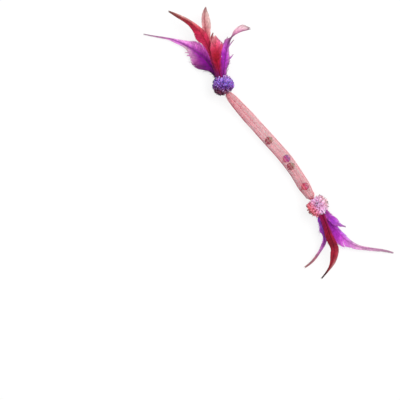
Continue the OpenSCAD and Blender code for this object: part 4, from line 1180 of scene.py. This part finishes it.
bellLook = {
    # each bell's tones run from the side away from the lamp to the side towards it: painted shade and a
    # painted reflection of the pink sleeve at the low end, a painted highlight near the high end; the rim
    # level is painted shade at the rim
    "across": (0.25, 0.97, 0), "rimRange": (0.1, 0.65), "rimShadeLevel": 0.19,
    "green": [(0.1, (75, 5, 22)), (0.38, (30, 42, 28)), (0.62, (45, 110, 70)), (0.9, (150, 180, 140))],
    "violet": [(0.1, (145, 5, 95)), (0.4, (165, 5, 185)), (0.65, (95, 15, 190)), (0.9, (150, 60, 210))],
    "red": [(0.1, (190, 0, 40)), (0.45, (185, 0, 55)), (0.7, (255, 70, 180)), (0.9, (110, 0, 85))],
}
metalLook = {"steel": (185, 185, 190), "steelRoughness": 0.3, "wire": (200, 200, 206), "wireRoughness": 0.22}


def finishNodes():
    green, violet, red = [bellLacquerAndShade(key + "Lacquer", bellLook[key]) for key in ("green", "violet", "red")]
    steel = plainMetal("pelletSteel", metalLook["steel"], metalLook["steelRoughness"])
    wire = plainMetal("tieWire", metalLook["wire"], metalLook["wireRoughness"])
    glue, thread = meltedGlue("setGlue"), lashingThread("lashingThread")
    finish = {"upper_green_bell": green, "lower_green_bell": green, "violet_bell": violet, "red_bell": red}
    for bell in ("upper_green", "violet", "lower_green", "red"):
        finish[bell + "_pellet"] = steel
    for end in ("upper", "lower"):
        finish.update({end + "_pompom_tie": wire, end + "_glue_plug": glue, end + "_lashing": thread})
    for name, material in finish.items():
        for place in nodes[name].material_slots:
            place.material = material
    print("finishes set on", len(finish), "nodes")


# Studio

studio = {
    "floor": 6.0, "floorShade": 0.82, "floorGlow": 0.78, "sky": 0.95, "farSide": 0.4, "farFrom": -0.6,
    "lampPower": 32.0, "lampSize": 2.0, "lampPlace": (0.22, 1.3, 2.05), "lampAim": (-0.02, -0.03, 0),
}


def seenStraight(tree):
    # 1 for what the camera sees, also in a reflection or through a clear piece
    path = tree.nodes.new("ShaderNodeLightPath").outputs
    mirrored = joinValues(tree, "MAXIMUM", path["Is Camera Ray"], path["Is Glossy Ray"])
    return joinValues(tree, "MAXIMUM", mirrored, path["Is Transmission Ray"])


def mixShaders(tree, first, second):
    node = tree.nodes.new("ShaderNodeMixShader")
    tree.links.new(first.outputs[0], node.inputs[1])
    tree.links.new(second.outputs[0], node.inputs[2])
    return node


def makeFloor():
    # white where it is seen, with the object's shadow, and a little darker in its light on the object
    clearSelection()
    bpy.ops.mesh.primitive_plane_add(size=studio["floor"])
    floor = bpy.context.object
    floor.name = "tableTop"
    material, tree, out = emptyMaterial("whiteTable")
    plain, white = [tree.nodes.new("ShaderNodeBsdfDiffuse") for k in range(2)]
    plain.inputs["Color"].default_value = (studio["floorShade"],) * 3 + (1,)
    white.inputs["Color"].default_value = (1, 1, 1, 1)
    shown = mixShaders(tree, white, tree.nodes.new("ShaderNodeEmission"))
    shown.inputs["Fac"].default_value = studio["floorGlow"]
    mixed = mixShaders(tree, plain, shown)
    tree.links.new(seenStraight(tree), mixed.inputs["Fac"])
    tree.links.new(mixed.outputs[0], out.inputs["Surface"])
    floor.data.materials.append(material)


def makeSky():
    # white where it is seen, and brighter towards the lamp than away from it
    world = bpy.data.worlds.new("studioWorld")
    bpy.context.scene.world = world
    world.use_nodes = True
    sky = world.node_tree
    light = sky.nodes["Background"]
    light.inputs["Color"].default_value = (1, 1, 1, 1)
    toward = sky.nodes.new("ShaderNodeTexCoord").outputs["Generated"]
    facing = facingValue(sky, toward, Vector(studio["lampPlace"]).normalized())
    dim = studio["farSide"] * studio["sky"]
    level = rescale(sky, facing, studio["farFrom"], 1, dim, studio["sky"])
    strength = sky.nodes.new("ShaderNodeMix")
    sky.links.new(seenStraight(sky), strength.inputs[0])
    sky.links.new(level, strength.inputs[2])
    strength.inputs[3].default_value = 1
    sky.links.new(strength.outputs[0], light.inputs["Strength"])


def makeLamp():
    light = bpy.data.lights.new("keyLamp", "AREA")
    light.shape, light.size, light.energy = "DISK", studio["lampSize"], studio["lampPower"]
    lamp = bpy.data.objects.new("keyLamp", light)
    bpy.context.scene.collection.objects.link(lamp)
    lamp.location = studio["lampPlace"]
    aim = Vector(studio["lampAim"]) - Vector(studio["lampPlace"])
    lamp.rotation_euler = aim.to_track_quat("-Z", "Y").to_euler()
    print("studio ready")


def makeCamera():
    camera = bpy.data.cameras.new("photoCamera")
    camera.sensor_width = view["sensor"]
    camera.lens = view["sensor"] * (view["distance"] - view["plane"]) / view["width"]
    camera.clip_end = view["farthest"]
    holder = bpy.data.objects.new("photoCamera", camera)
    bpy.context.scene.collection.objects.link(holder)
    up = Vector((*view["upward"], 0)).normalized()
    right = Vector((up.y, -up.x, 0))
    turn = Matrix((right, up, Vector((0, 0, 1)))).transposed().to_4x4()
    holder.matrix_world = Matrix.Translation((*view["middle"], view["distance"])) @ turn
    bpy.context.scene.camera = holder
    bpy.context.scene.view_settings.view_transform = "Standard"
    print("camera set")


makeCamera()
makeFloor()
makeSky()
makeLamp()
makeSleeve()
barbTemplate = modelBarb()
for name, end, node, slot, shape in featherList:
    makeFeather(name, end, node, shape, barbTemplate)
stripTemplate = modelStrip()
makePompom("violetTinselPompom", "upper", "upper_pompom", violetBall, stripTemplate)
makePompom("pinkTinselPompom", "lower", "lower_pompom", pinkBall, stripTemplate)
finishNodes()
